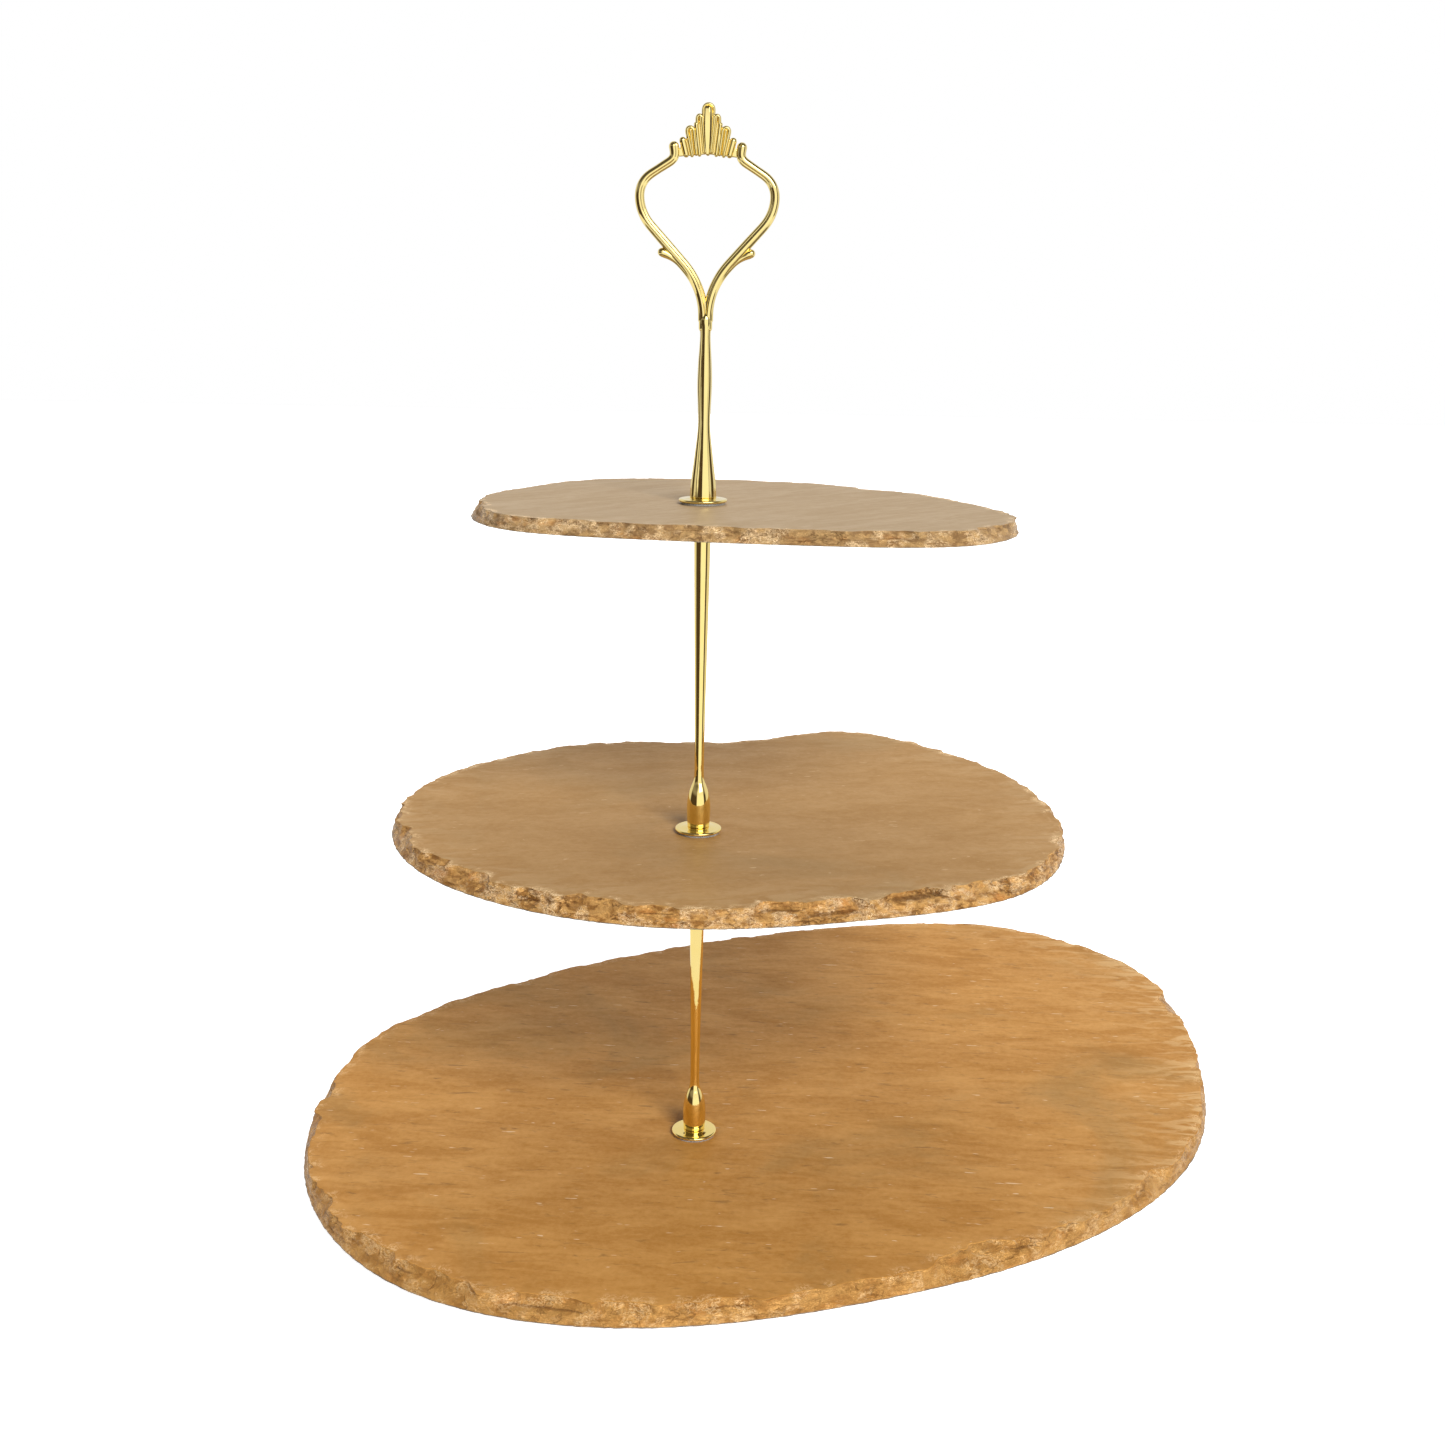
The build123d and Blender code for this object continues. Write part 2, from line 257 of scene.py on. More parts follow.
# Flaked edge: crumpled ridges in thin layers, coppery patches, broken dark cracks, and drifts of fold lines
# that mark where pale glints are painted as highlights
def flakedEdgeGroup():
    group, given, result = newGroup("flakedEdge", dict(Size=300.0), [
        "Tone", "Copper", "Crack", "Crinkle", "Height"])
    place, size = given["Vector"], given["Size"]
    layered = stretched(group, place, (1.0, 1.0, 2.2))
    wander = addNode(group, "TexNoise", {"Vector": place, "Scale": 210.0, "Detail": 3.0}).outputs["Color"]
    push = addNode(group, "VectorMath", {0: wander, 1: (0.5, 0.5, 0.5)}, operation="SUBTRACT").outputs[0]
    push = addNode(group, "VectorMath", {0: push, "Scale": 0.007}, operation="SCALE").outputs[0]
    warped = addNode(group, "VectorMath", {0: layered, 1: push}, operation="ADD").outputs[0]

    # Fold lines: how far a noise is from its middle value
    def ridge(scale, detail):
        raw = noise(group, warped, scale, detail, roughness=0.6)
        return calc(group, "ABSOLUTE", calc(group, "MULTIPLY_ADD", raw, 2.0, -1.0))

    large = ridge(size, 5.0)
    small = ridge(calc(group, "MULTIPLY", size, 3.6), 4.0)
    tone = noise(group, warped, size, detail=5.0, roughness=0.66)
    copper = ramped(group, noise(group, layered, 110.0, detail=3.0), 0.56, 0.70)
    broken = ramped(group, noise(group, place, 120.0, detail=2.0), 0.50, 0.58)
    line = ramped(group, ridge(calc(group, "MULTIPLY", size, 0.55), 3.0), 0.075, 0.02)
    crack = calc(group, "MULTIPLY", line, broken)
    drift = ramped(group, noise(group, place, 140.0, detail=3.0), 0.46, 0.58)
    # Fold lines in drifts: the mask where pale glints are painted as highlights
    fold = calc(group, "MAXIMUM", ramped(group, large, 0.05, 0.01), ramped(group, small, 0.075, 0.02))
    crinkleGlint = calc(group, "MULTIPLY", fold, drift)
    height = calc(group, "MULTIPLY_ADD", large, -0.9, calc(group, "MULTIPLY", small, -0.5))
    height = calc(group, "SUBTRACT", height, calc(group, "MULTIPLY", crack, 0.4))
    return setOutputs(group, result, Tone=tone, Copper=copper, Crack=crack, Crinkle=crinkleGlint, Height=height)


# Polished casting: faint cloudy dulling, fine rub marks and a slightly uneven skin
def castPolishGroup():
    group, given, result = newGroup("castPolish", dict(Smooth=0.06, Dull=0.16), ["Rough", "Tint", "Height"])
    place = given["Vector"]
    cloud = noise(group, place, 90.0, roughness=0.6)
    rub = noise(group, stretched(group, place, (2400.0, 2400.0, 160.0)), 1.0, detail=2.0, roughness=0.5)
    span = calc(group, "SUBTRACT", given["Dull"], given["Smooth"])
    mask = calc(group, "MULTIPLY", ramped(group, cloud, 0.4, 0.8), ramped(group, rub, 0.3, 0.7, 0.5, 1.0))
    rough = calc(group, "MULTIPLY_ADD", mask, span, given["Smooth"])
    skin = noise(group, place, 260.0, detail=2.0, roughness=0.5)
    height = calc(group, "ADD", calc(group, "MULTIPLY", skin, 0.8), calc(group, "MULTIPLY", rub, 0.05))
    return setOutputs(group, result, Rough=rough, Tint=cloud, Height=height)


brushedPaint = brushedPaintGroup()
flakedEdge = flakedEdgeGroup()
castPolish = castPolishGroup()


def newMaterial(name):
    material = bpy.data.materials.new(name)
    material.use_nodes = True
    tree = material.node_tree
    tree.nodes.clear()
    shader = addNode(tree, "BsdfPrincipled")
    addNode(tree, "OutputMaterial", {"Surface": shader.outputs[0]})
    place = addNode(tree, "TexCoord").outputs["Object"]
    return material, tree, shader, place


def pointValue(tree, name):
    return addNode(tree, "Attribute", attribute_name=name).outputs["Fac"]


def bump(tree, shader, height, strength, distance):
    node = addNode(tree, "Bump", {"Height": height, "Strength": strength, "Distance": distance})
    tree.links.new(node.outputs[0], shader.inputs["Normal"])


# Values between which each layer of a slate's colouring comes in, the painted shade in creases and the
# painted highlights on crinkles among them
slateFades = dict(
    brush=(0.34, 0.66), cloud=(0.48, 0.74), smear=(0.57, 0.75), tick=(0.715, 0.76), speck=(0.80, 0.84),
    rim=(0.46, 0.58), chip=(0.40, 0.60), creaseShade=(0.5, 0.95), foot=(0.07, 0.01), edge=(0.35, 0.75),
    glintReach=(0.72, 0.95), stone=(0.3, 0.7), rough=(0.3, 0.7))


# Gold paint on slate: brushed face with clouds, smears and pale ticks, a paler rim, and a chipped edge with
# copper, cracks, painted shade in the creases under its ledges and painted highlights (pale glints) on its
# crinkles; bare stone along the foot of the edge and underneath
def slateMaterial(look):
    material, tree, shader, place = newMaterial(look["material"])
    paint = useGroup(tree, brushedPaint, Vector=place, Turn=look["turn"], Along=look["along"],
                     Across=look["across"])
    flakes = useGroup(tree, flakedEdge, Vector=place, Size=look["flakeSize"])

    def fade(value, name, toLow=0.0, toHigh=1.0):
        return ramped(tree, value, *slateFades[name], toLow, toHigh)

    def shared(value, share):
        return calc(tree, "MULTIPLY", value, share)

    grainShare = 1 - look["streakShare"] - look["patchShare"]
    brush = calc(tree, "MULTIPLY_ADD", paint["Streak"], look["streakShare"],
                 shared(paint["Patch"], look["patchShare"]))
    brush = calc(tree, "MULTIPLY_ADD", paint["Grain"], grainShare, brush)
    face = mixed(tree, fade(brush, "brush"), look["deep"], look["light"])
    for layer, tone in (("cloud", "cloud"), ("smear", "smear"), ("tick", "tick"), ("speck", "tick")):
        face = mixed(tree, fade(paint[layer.title()], layer, 0.0, look[layer + "Share"]), face, look[tone])
    eastward = addNode(tree, "SeparateXYZ", {0: place}).outputs[0]
    rimShare = shared(pointValue(tree, "rimNear"), fade(paint["Streak"], "rim"))
    rimShare = shared(rimShare, ramped(tree, eastward, *look["rimFrom"], 0.0, look["rimShare"]))
    face = mixed(tree, rimShare, face, look["rim"])

    chip = mixed(tree, fade(flakes["Tone"], "chip"), look["chipDeep"], look["chipLight"])
    chip = mixed(tree, look["chipPaint"], chip, face)
    chip = mixed(tree, shared(flakes["Copper"], look["copperShare"]), chip, look["copper"])
    chip = mixed(tree, shared(flakes["Crack"], look["crackShare"]), chip, look["crack"])
    # Painted shade: the inner corners under the ledges of the chipped edge are darkened with the crack colour
    creaseShading = fade(pointValue(tree, "creaseShade"), "creaseShade", 0.0, look["creaseShadeShare"])
    chip = mixed(tree, creaseShading, chip, look["crack"])
    chip = mixed(tree, fade(pointValue(tree, "layerUp"), "foot"), chip, look["stone"])
    edge = fade(pointValue(tree, "edgeShare"), "edge")
    under = pointValue(tree, "underShare")
    painted = mixed(tree, edge, face, chip)
    # Painted highlights: pale glints on the fold lines of the chipped edge, reaching onto the face near the
    # rim
    glintMask = calc(tree, "MAXIMUM", edge, fade(pointValue(tree, "rimNear"), "glintReach"))
    glintMask = shared(shared(flakes["Crinkle"], glintMask), look["crinkleGlintShare"])
    painted = mixed(tree, glintMask, painted, look["crinkleGlint"])
    stoneTone = mixed(tree, fade(paint["Cloud"], "stone"), look["stone"], look["stoneLight"])
    tree.links.new(mixed(tree, under, painted, stoneTone), shader.inputs["Base Color"])

    metal = calc(tree, "MULTIPLY_ADD", edge, look["chipMetal"] - look["faceMetal"], look["faceMetal"])
    metal = shared(metal, calc(tree, "SUBTRACT", 1.0, under))
    tree.links.new(metal, shader.inputs["Metallic"])
    rough, spread = look["faceRough"], look["roughSpread"]
    faceRough = fade(brush, "rough", rough + spread, rough - spread)
    chipRough = fade(flakes["Tone"], "rough", *look["chipRough"])
    tree.links.new(between(tree, edge, faceRough, chipRough), shader.inputs["Roughness"])
    relief = between(tree, edge, shared(paint["Height"], look["faceRelief"]), flakes["Height"])
    bump(tree, shader, relief, look["bumpStrength"], look["bumpDepth"])
    shader.inputs["Specular IOR Level"].default_value = look["sheen"]
    return material


# Polished metal: gold plating, or zinc where it is duller
def metalMaterial(look):
    material, tree, shader, place = newMaterial(look["material"])
    polish = useGroup(tree, castPolish, Vector=place, Smooth=look["smooth"], Dull=look["dull"])
    tree.links.new(mixed(tree, polish["Tint"], look["deep"], look["light"]), shader.inputs["Base Color"])
    tree.links.new(polish["Rough"], shader.inputs["Roughness"])
    shader.inputs["Metallic"].default_value = 1.0
    bump(tree, shader, polish["Height"], *look["relief"])
    return material


vinylLook = dict(deep=(0.66, 0.65, 0.60, 1), light=(0.82, 0.81, 0.76, 1), rough=(0.10, 0.24),
                 cover=(0.16, 0.28), relief=(0.2, 0.0003))


# Clear vinyl: thin and slightly milky, a little uneven
def vinylMaterial(look):
    material, tree, shader, place = newMaterial("clearVinyl")
    haze = noise(tree, place, 400.0, detail=3.0)
    tree.links.new(mixed(tree, haze, look["deep"], look["light"]), shader.inputs["Base Color"])
    tree.links.new(ramped(tree, haze, 0.2, 0.8, *look["rough"]), shader.inputs["Roughness"])
    tree.links.new(ramped(tree, haze, 0.2, 0.8, *look["cover"]), shader.inputs["Alpha"])
    bump(tree, shader, haze, *look["relief"])
    return material


rubberLook = dict(black=(0.018, 0.018, 0.019, 1), dusty=(0.07, 0.066, 0.06, 1), rough=(0.55, 0.85),
                  relief=(0.35, 0.0002))


# Black rubber with a fine moulded grain and dusty wear
def rubberMaterial(look):
    material, tree, shader, place = newMaterial("footRubber")
    dust = noise(tree, place, 160.0, detail=5.0, roughness=0.6)
    grain = noise(tree, place, 2600.0, detail=2.0)
    tone = mixed(tree, ramped(tree, dust, 0.5, 0.8), look["black"], look["dusty"])
    tree.links.new(tone, shader.inputs["Base Color"])
    tree.links.new(ramped(tree, dust, 0.3, 0.8, *look["rough"]), shader.inputs["Roughness"])
    bump(tree, shader, grain, *look["relief"])
    return material


# Outline of a slate as a closed curve: cubic pieces whose slopes make it bend evenly all the way round
def ringCurve(points, count):
    points = np.array(points, float)
    n = len(points)
    step = np.linalg.norm(np.roll(points, -1, 0) - points, axis=1)
    last = np.roll(step, 1)
    k = np.arange(n)
    system = np.zeros((n, n))
    system[k, k] = 2 / last + 2 / step
    system[k, (k - 1) % n] += 1 / last
    system[k, (k + 1) % n] += 1 / step
    rate = (np.roll(points, -1, 0) - points) / step[:, None] ** 2
    slope = np.linalg.solve(system, 3 * (rate + np.roll(rate, 1, 0)))
    knots = np.concatenate([[0], np.cumsum(step)])

    def at(t):
        i = np.clip(np.searchsorted(knots, t, side="right") - 1, 0, n - 1)
        u = ((t - knots[i]) / step[i])[:, None]
        h = step[i][:, None]
        j = (i + 1) % n
        return ((1 + 2 * u) * (1 - u) ** 2 * points[i] + u * (1 - u) ** 2 * h * slope[i]
                + u ** 2 * (3 - 2 * u) * points[j] + u ** 2 * (u - 1) * h * slope[j])

    fine = np.linspace(0, knots[-1], 4001)
    dense = at(fine)
    run = np.concatenate([[0], np.cumsum(np.linalg.norm(np.diff(dense, axis=0), axis=1))])
    even = np.linspace(0, run[-1], count, endpoint=False)
    spot = np.interp(even, run, fine)
    return at(spot), run[-1]


# Breaks along a slate's rim: feet are shares of the thickness, pitches are millimetres along the rim
edgeShape = dict(
    ledgeFoot=(0.3, 0.8), ledgePower=0.15, scoopFoot=(-0.15, 0.75), scoopPower=1.5, creaseShadeFrom=0.4,
    flatTop=2.4, tilt=0.55, jagPitch=2.6, fineJagPitch=0.9, jagMean=0.9, jagShare=0.11,
    slopePitch=24, terracePitch=7, terraceTall=0.9, crumbPitch=1.7, crumbTall=0.7, leastInset=0.02,
    dent=0.12, lipPitch=14, lipDrop=0.10, lipWave=0.08)

# The face and the underside: waves, the level ring round the hole and the zone that follows the rim
faceShape = dict(
    waves=9, waveTurn=0.35, wavePace=(0.03, 0.16), waveStretch=0.35, deepest=0.6, calmFrom=11, calmOver=22,
    rowPower=1.6, followFrom=0.72, followOver=0.28, followPower=1.5, blurShare=0.9, lipReach=5.0, ripple=0.05)


# Slate: rows run from the hole over the face to the rim, down the chipped edge and back underneath.
# At height h of the edge the rim is set in by its slope times h, plus the deepest of the flake scars there:
# a scar of depth d takes d * w(x) * t^p, with w a flat-topped, tilted and jagged break along the rim, t up
# from its own foot, and p large for a scooped flake or small for a layer that broke off flat and left a
# ledge. Small terraces and crumbs are lattice noise. The rows of the face follow the broken rim, each
# smoothed along its length by its own distance from it. The face sinks a little in soft waves, but not round
# the hole.
def slateShell(look):
    low, high = levels(look["node"])
    thick = high - low
    seed = look["seed"]
    samples = look["samples"]
    rng = np.random.default_rng(seed)
    outline, around = ringCurve(look["outline"], samples)
    ahead = np.roll(outline, -1, 0) - np.roll(outline, 1, 0)
    ahead /= np.linalg.norm(ahead, axis=1, keepdims=True)
    inward = np.stack([-ahead[:, 1], ahead[:, 0]], -1)
    share = np.arange(samples) / samples
    up = np.linspace(0, 1, look["edgeRows"])

    def alongRim(pitch, step):
        return latticeNoise(share, 0 * share, int(around / pitch), 1, seed + step)

    # Flake scars: scattered ones first, then the large ones at their own spots
    count = look["scars"]
    centre = rng.uniform(0, 1, count)
    half = rng.uniform(*look["scarHalf"], count) / around
    depth = rng.uniform(*look["scarDepth"], count)
    ledge = rng.uniform(0, 1, count) < look["ledges"]
    ledgeFoot = rng.uniform(*edgeShape["ledgeFoot"], count)
    scoopFoot = rng.uniform(*edgeShape["scoopFoot"], count)
    foot = np.where(ledge, ledgeFoot, scoopFoot)
    power = np.where(ledge, edgeShape["ledgePower"], edgeShape["scoopPower"])
    for spot, wide, deep, base, bend in look["largeScars"]:
        nearest = np.argmin(np.linalg.norm(outline - np.array(spot), axis=1)) / samples
        centre = np.append(centre, nearest)
        half = np.append(half, wide / around)
        depth = np.append(depth, deep)
        foot = np.append(foot, base)
        power = np.append(power, bend)
    off = ((share[None] - centre[:, None] + 0.5) % 1 - 0.5) / half[:, None]
    tilt = rng.uniform(-edgeShape["tilt"], edgeShape["tilt"], len(centre))[:, None]
    jag = alongRim(edgeShape["jagPitch"], 7) + 0.5 * alongRim(edgeShape["fineJagPitch"], 8)
    bite = depth[:, None] * np.clip(edgeShape["flatTop"] * (1 - np.abs(off)), 0, 1)
    bite = bite * (1 + tilt * np.clip(off, -1, 1))
    bite = bite * (edgeShape["jagMean"] + edgeShape["jagShare"] * jag[None])
    rise = np.clip((up[None] - foot[:, None]) / (1 - foot[:, None]), 0, None) ** power[:, None]
    scar = np.zeros((samples, look["edgeRows"]))
    for k in range(len(centre)):
        scar = np.maximum(scar, bite[k][:, None] * rise[k][None])
    # Painted shade mask: where the edge steps in sharply under a ledge, its inner corner is to be darkened
    creaseShade = np.clip(np.diff(scar, axis=1, prepend=0) - edgeShape["creaseShadeFrom"], 0, 1)

    # Edge rows, from the foot up
    s = np.broadcast_to(share[:, None], scar.shape)
    h = np.broadcast_to(up[None], scar.shape)
    short = int(around / edgeShape["crumbPitch"])
    slope = look["slope"] * (0.75 + 0.5 * alongRim(edgeShape["slopePitch"], 1)[:, None])
    terraceRows = max(3, int(thick / edgeShape["terraceTall"]))
    terrace = latticeNoise(s, h, int(around / edgeShape["terracePitch"]), terraceRows, seed + 2)
    crumb = latticeNoise(s, h, short, max(4, int(thick / edgeShape["crumbTall"])), seed + 3)
    stepped = np.sign(terrace) * np.abs(terrace) ** 0.6
    inset = slope * h + scar + look["terrace"] * (stepped + 1) * np.clip(h * 6, 0, 1)
    inset += look["crumb"] * (crumb + 1)
    inset = np.maximum(inset, edgeShape["leastInset"])
    edgeXY = outline[:, None] + inset[..., None] * inward[:, None]
    dent = latticeNoise(s, h, short, 6, seed + 4) + 1
    edgeZ = low + thick * h - edgeShape["dent"] * dent * np.sin(np.pi * h) ** 0.5
    edgeZ[:, -1] = high - edgeShape["lipDrop"] - edgeShape["lipWave"] * alongRim(edgeShape["lipPitch"], 5)

    # Face rows, from the hole out
    rim = edgeXY[:, -1]
    even = outline + look["slope"] * inward
    angle = np.arctan2(even[:, 1], even[:, 0])
    hole = look["hole"] * np.stack([np.cos(angle), np.sin(angle)], -1)
    t = np.linspace(0, 1, look["faceRows"])[:-1]
    t = 1 - (1 - t) ** faceShape["rowPower"]
    late = np.clip((t - faceShape["followFrom"]) / faceShape["followOver"], 0, 1) ** faceShape["followPower"]
    faceXY = hole[:, None] * (1 - t)[None, :, None] + even[:, None] * t[None, :, None]
    blur = faceShape["blurShare"] * np.linalg.norm(even, axis=1).mean() * (1 - t) * 2 * np.pi / around
    pitch = np.fft.fftfreq(samples, 1 / samples)
    soft = np.fft.fft(rim - even, axis=0)[:, None] * np.exp(-0.5 * np.outer(pitch, blur) ** 2)[..., None]
    faceXY = faceXY + np.fft.ifft(soft, axis=0).real * late[None, :, None]
    x, y = faceXY[..., 0], faceXY[..., 1]
    calm = np.clip((np.hypot(x, y) - faceShape["calmFrom"]) / faceShape["calmOver"], 0, 1)
    waves = faceShape["waves"]
    phase = rng.uniform(0, 2 * np.pi, waves)
    turn = rng.uniform(-faceShape["waveTurn"], faceShape["waveTurn"], waves) + look["grainTurn"]
    pace = rng.uniform(*faceShape["wavePace"], waves)
    swell = 0
    for k in range(waves):
        run = x * np.sin(turn[k]) * faceShape["waveStretch"] + y * np.cos(turn[k])
        swell = swell + np.sin(pace[k] * run + phase[k])
    sink = look["wave"] * (0.55 + 0.9 * (swell / waves)) * calm
    toRim = np.linalg.norm(faceXY - rim[:, None], axis=-1)
    nearRim = np.exp(-toRim / faceShape["lipReach"])
    faceZ = high - np.clip(sink, 0.0, faceShape["deepest"]) * (1 - nearRim)
    faceZ = faceZ - (high - edgeZ[:, -1])[:, None] * nearRim ** 2

    # Underside rows, from the foot of the edge back to the hole
    back = np.linspace(0, 1, look["underRows"])[1:]
    underXY = edgeXY[:, :1] * (1 - back)[None, :, None] + hole[:, None] * back[None, :, None]
    underSize = underXY.shape[:2]
    ripple = latticeNoise(np.broadcast_to(share[:, None], underSize), np.broadcast_to(back[None], underSize),
                          60, 8, seed + 6)
    underZ = low + faceShape["ripple"] * (ripple + 1) * (np.sin(np.pi * back) ** 0.5)[None]

    xy = np.concatenate([faceXY, edgeXY[:, ::-1], underXY], 1)
    z = np.concatenate([faceZ, edgeZ[:, ::-1], underZ], 1)
    grid = np.concatenate([xy + np.array([postX, postY]), z[..., None]], -1)
    onFace = np.zeros(faceXY.shape[:2])
    onEdge = np.ones(scar.shape)
    onEdge[:, 0] = 0.4
    onUnder = np.zeros(underSize)
    values = {
        "edgeShare": np.concatenate([onFace, onEdge, onUnder], 1),
        "underShare": np.concatenate([onFace, 0 * onEdge, onUnder + 1], 1),
        "layerUp": np.concatenate([onFace + 1, h[:, ::-1], onUnder], 1),
        "creaseShade": np.concatenate([onFace, creaseShade[:, ::-1], onUnder], 1),
        "rimNear": np.concatenate([np.exp(-toRim / look["rimWide"]), onEdge, onUnder], 1),
    }
    return {"grid": grid, "values": values}


# What the three slates share. The pale rim comes in along x between the two places of rimFrom, in metres
edgeTones = dict(
    # crinkleGlint is the colour of the painted highlights on the chipped edges; crack also darkens the
    # creases under the ledges as painted shade
    crinkleGlint=(0.94, 0.69, 0.40, 1), crinkleGlintShare=0.8, copper=(0.56, 0.22, 0.05, 1),
    crack=(0.13, 0.055, 0.016, 1), creaseShadeShare=0.6, stone=(0.20, 0.165, 0.13, 1),
    stoneLight=(0.22, 0.20, 0.18, 1), chipPaint=0.3, chipMetal=0.46, faceMetal=0.20, chipRough=(0.38, 0.2),
    faceRough=0.52, roughSpread=0.06, sheen=0.20, faceRelief=0.2, bumpStrength=0.8, bumpDepth=0.0008,
    rimFrom=(-0.3, -0.2))

# Outlines are points round the post. A large scar has its spot, half width, depth, foot and power
bottomSlate = dict(
    edgeTones, node="bottom_plate", body="base", slot="slate_bottom", material="slateGoldenBrown",
    outline=[(215, 88), (208, 174), (150, 225), (60, 219), (-30, 182), (-88, 142), (-133, 94),
             (-149, 25), (-134, -48), (-92, -98), (-25, -117), (57, -101), (130, -66), (190, -2)],
    samples=1200, edgeRows=18, faceRows=38, underRows=14, hole=3.0, seed=21,
    slope=1.6, terrace=0.35, crumb=0.16, wave=0.30, grainTurn=0.05,
    scars=170, scarHalf=(1.5, 9.0), scarDepth=(0.2, 1.6), ledges=0.3,
    largeScars=[((-108, -84), 15, 4.5, 0.15, 1.1), ((-94, -98), 9, 3.5, 0.7, 0.15),
                ((-80, -104), 14, 5.5, 0.3, 1.1), ((-132, -52), 10, 3.5, 0.3, 1.3),
                ((-46, -116), 18, 5.0, 0.5, 0.15), ((-20, -118), 12, 3.5, 0.2, 1.2),
                ((14, -112), 10, 3.0, 0.6, 0.15), ((96, -84), 20, 7.5, 0.1, 1.0),
                ((112, -77), 11, 5.0, 0.6, 0.15), ((130, -66), 9, 3.5, 0.4, 1.5),
                ((166, -30), 13, 4.5, 0.2, 1.2), ((-146, 0), 12, 3.5, 0.35, 1.5),
                ((-150, 30), 9, 3.0, 0.5, 0.15), ((211, 130), 14, 5.0, 0.3, 1.5)],
    turn=0.06, along=48.0, across=165.0, streakShare=0.32, patchShare=0.40, speckShare=0.3,
    flakeSize=160.0, copperShare=0.2, crackShare=0.3, crinkleGlint=(0.80, 0.54, 0.27, 1), crinkleGlintShare=0.55,
    chipDeep=(0.33, 0.155, 0.040, 1), chipLight=(0.52, 0.28, 0.085, 1),
    deep=(0.375, 0.165, 0.030, 1), light=(0.53, 0.268, 0.070, 1),
    cloud=(0.24, 0.152, 0.050, 1), cloudShare=0.42, smear=(0.21, 0.10, 0.026, 1), smearShare=0.7,
    tick=(0.78, 0.62, 0.40, 1), tickShare=0.6,
    rim=(0.62, 0.41, 0.19, 1), rimShare=0.7, rimWide=18.0, rimFrom=(0.06, 0.17))

middleSlate = dict(
    edgeTones, node="middle_plate", body="middle_tier", slot="slate_middle", material="slateBrownGold",
    outline=[(136, 14), (133, 67), (110, 115), (62, 152), (12, 131), (-36, 128), (-89, 95),
             (-115, 34), (-101, -24), (-60, -65), (0, -82), (58, -71), (109, -46)],
    samples=1050, edgeRows=18, faceRows=38, underRows=14, hole=3.0, seed=33,
    slope=2.0, terrace=0.45, crumb=0.2, wave=0.25, grainTurn=0.3,
    scars=160, scarHalf=(1.5, 8.0), scarDepth=(0.2, 1.8), ledges=0.45,
    largeScars=[((-34, -76), 12, 4.5, 0.3, 1.4), ((-12, -81), 8, 3.0, 0.6, 0.15),
                ((30, -78), 11, 6.5, 0.62, 0.15), ((46, -74), 13, 5.5, 0.35, 0.15),
                ((73, -66), 14, 7.0, 0.7, 0.15), ((94, -54), 12, 5.5, 0.3, 1.2),
                ((-108, -8), 11, 4.0, 0.2, 1.3), ((-92, -36), 9, 4.0, 0.6, 0.15),
                ((-78, -50), 13, 5.0, 0.2, 1.2), ((-54, -68), 8, 3.5, 0.5, 0.15),
                ((-40, 128), 6, 3.0, 0.2, 0.6), ((84, 136), 7, 3.0, 0.2, 0.6)],
    turn=-0.16, along=60.0, across=160.0, streakShare=0.22, patchShare=0.42, speckShare=0.4,
    flakeSize=300.0, copperShare=0.5, crackShare=0.7,
    chipDeep=(0.29, 0.120, 0.024, 1), chipLight=(0.74, 0.405, 0.125, 1),
    deep=(0.328, 0.174, 0.052, 1), light=(0.398, 0.225, 0.077, 1),
    cloud=(0.305, 0.190, 0.074, 1), cloudShare=0.45, smear=(0.30, 0.155, 0.048, 1), smearShare=0.4,
    tick=(0.70, 0.52, 0.30, 1), tickShare=0.45, rim=(0.46, 0.31, 0.15, 1), rimShare=0.35, rimWide=14.0)

topSlate = dict(
    edgeTones, node="top_plate", body="top_tier", slot="slate_top", material="slateBeigeGold",
    outline=[(106, -22), (97, 16), (77, 46), (44, 72), (0, 83), (-42, 75),
             (-69, 43), (-80, 0), (-65, -38), (-20, -56), (40, -64), (86, -57)],
    samples=900, edgeRows=16, faceRows=36, underRows=12, hole=3.0, seed=47,
    slope=1.5, terrace=0.4, crumb=0.2, wave=0.22, grainTurn=0.7,
    scars=120, scarHalf=(1.5, 6.5), scarDepth=(0.2, 1.3), ledges=0.4,
    largeScars=[((-44, -50), 10, 3.5, 0.2, 1.3), ((-6, -58), 8, 2.5, 0.6, 0.15),
                ((58, -64), 11, 3.5, 0.5, 0.15), ((94, -48), 9, 3.5, 0.2, 1.3),
                ((66, 58), 9, 3.5, 0.3, 1.4), ((-78, -8), 8, 3.0, 0.2, 1.4)],
    turn=-0.75, along=45.0, across=210.0, streakShare=0.4, patchShare=0.35, speckShare=0.3,
    flakeSize=260.0, copperShare=0.25, crackShare=0.4,
    chipDeep=(0.27, 0.135, 0.04, 1), chipLight=(0.58, 0.345, 0.125, 1),
    deep=(0.322, 0.222, 0.120, 1), light=(0.377, 0.270, 0.155, 1),
    cloud=(0.305, 0.208, 0.11, 1), cloudShare=0.4, smear=(0.29, 0.185, 0.09, 1), smearShare=0.4,
    tick=(0.56, 0.44, 0.30, 1), tickShare=0.4, rim=(0.40, 0.28, 0.16, 1), rimShare=0.2, rimWide=10.0)

for look in (bottomSlate, middleSlate, topSlate):
    makePiece(look["node"].replace("plate", "slate"), [slateShell(look)], slateMaterial(look), look["body"],
              [look["node"]])

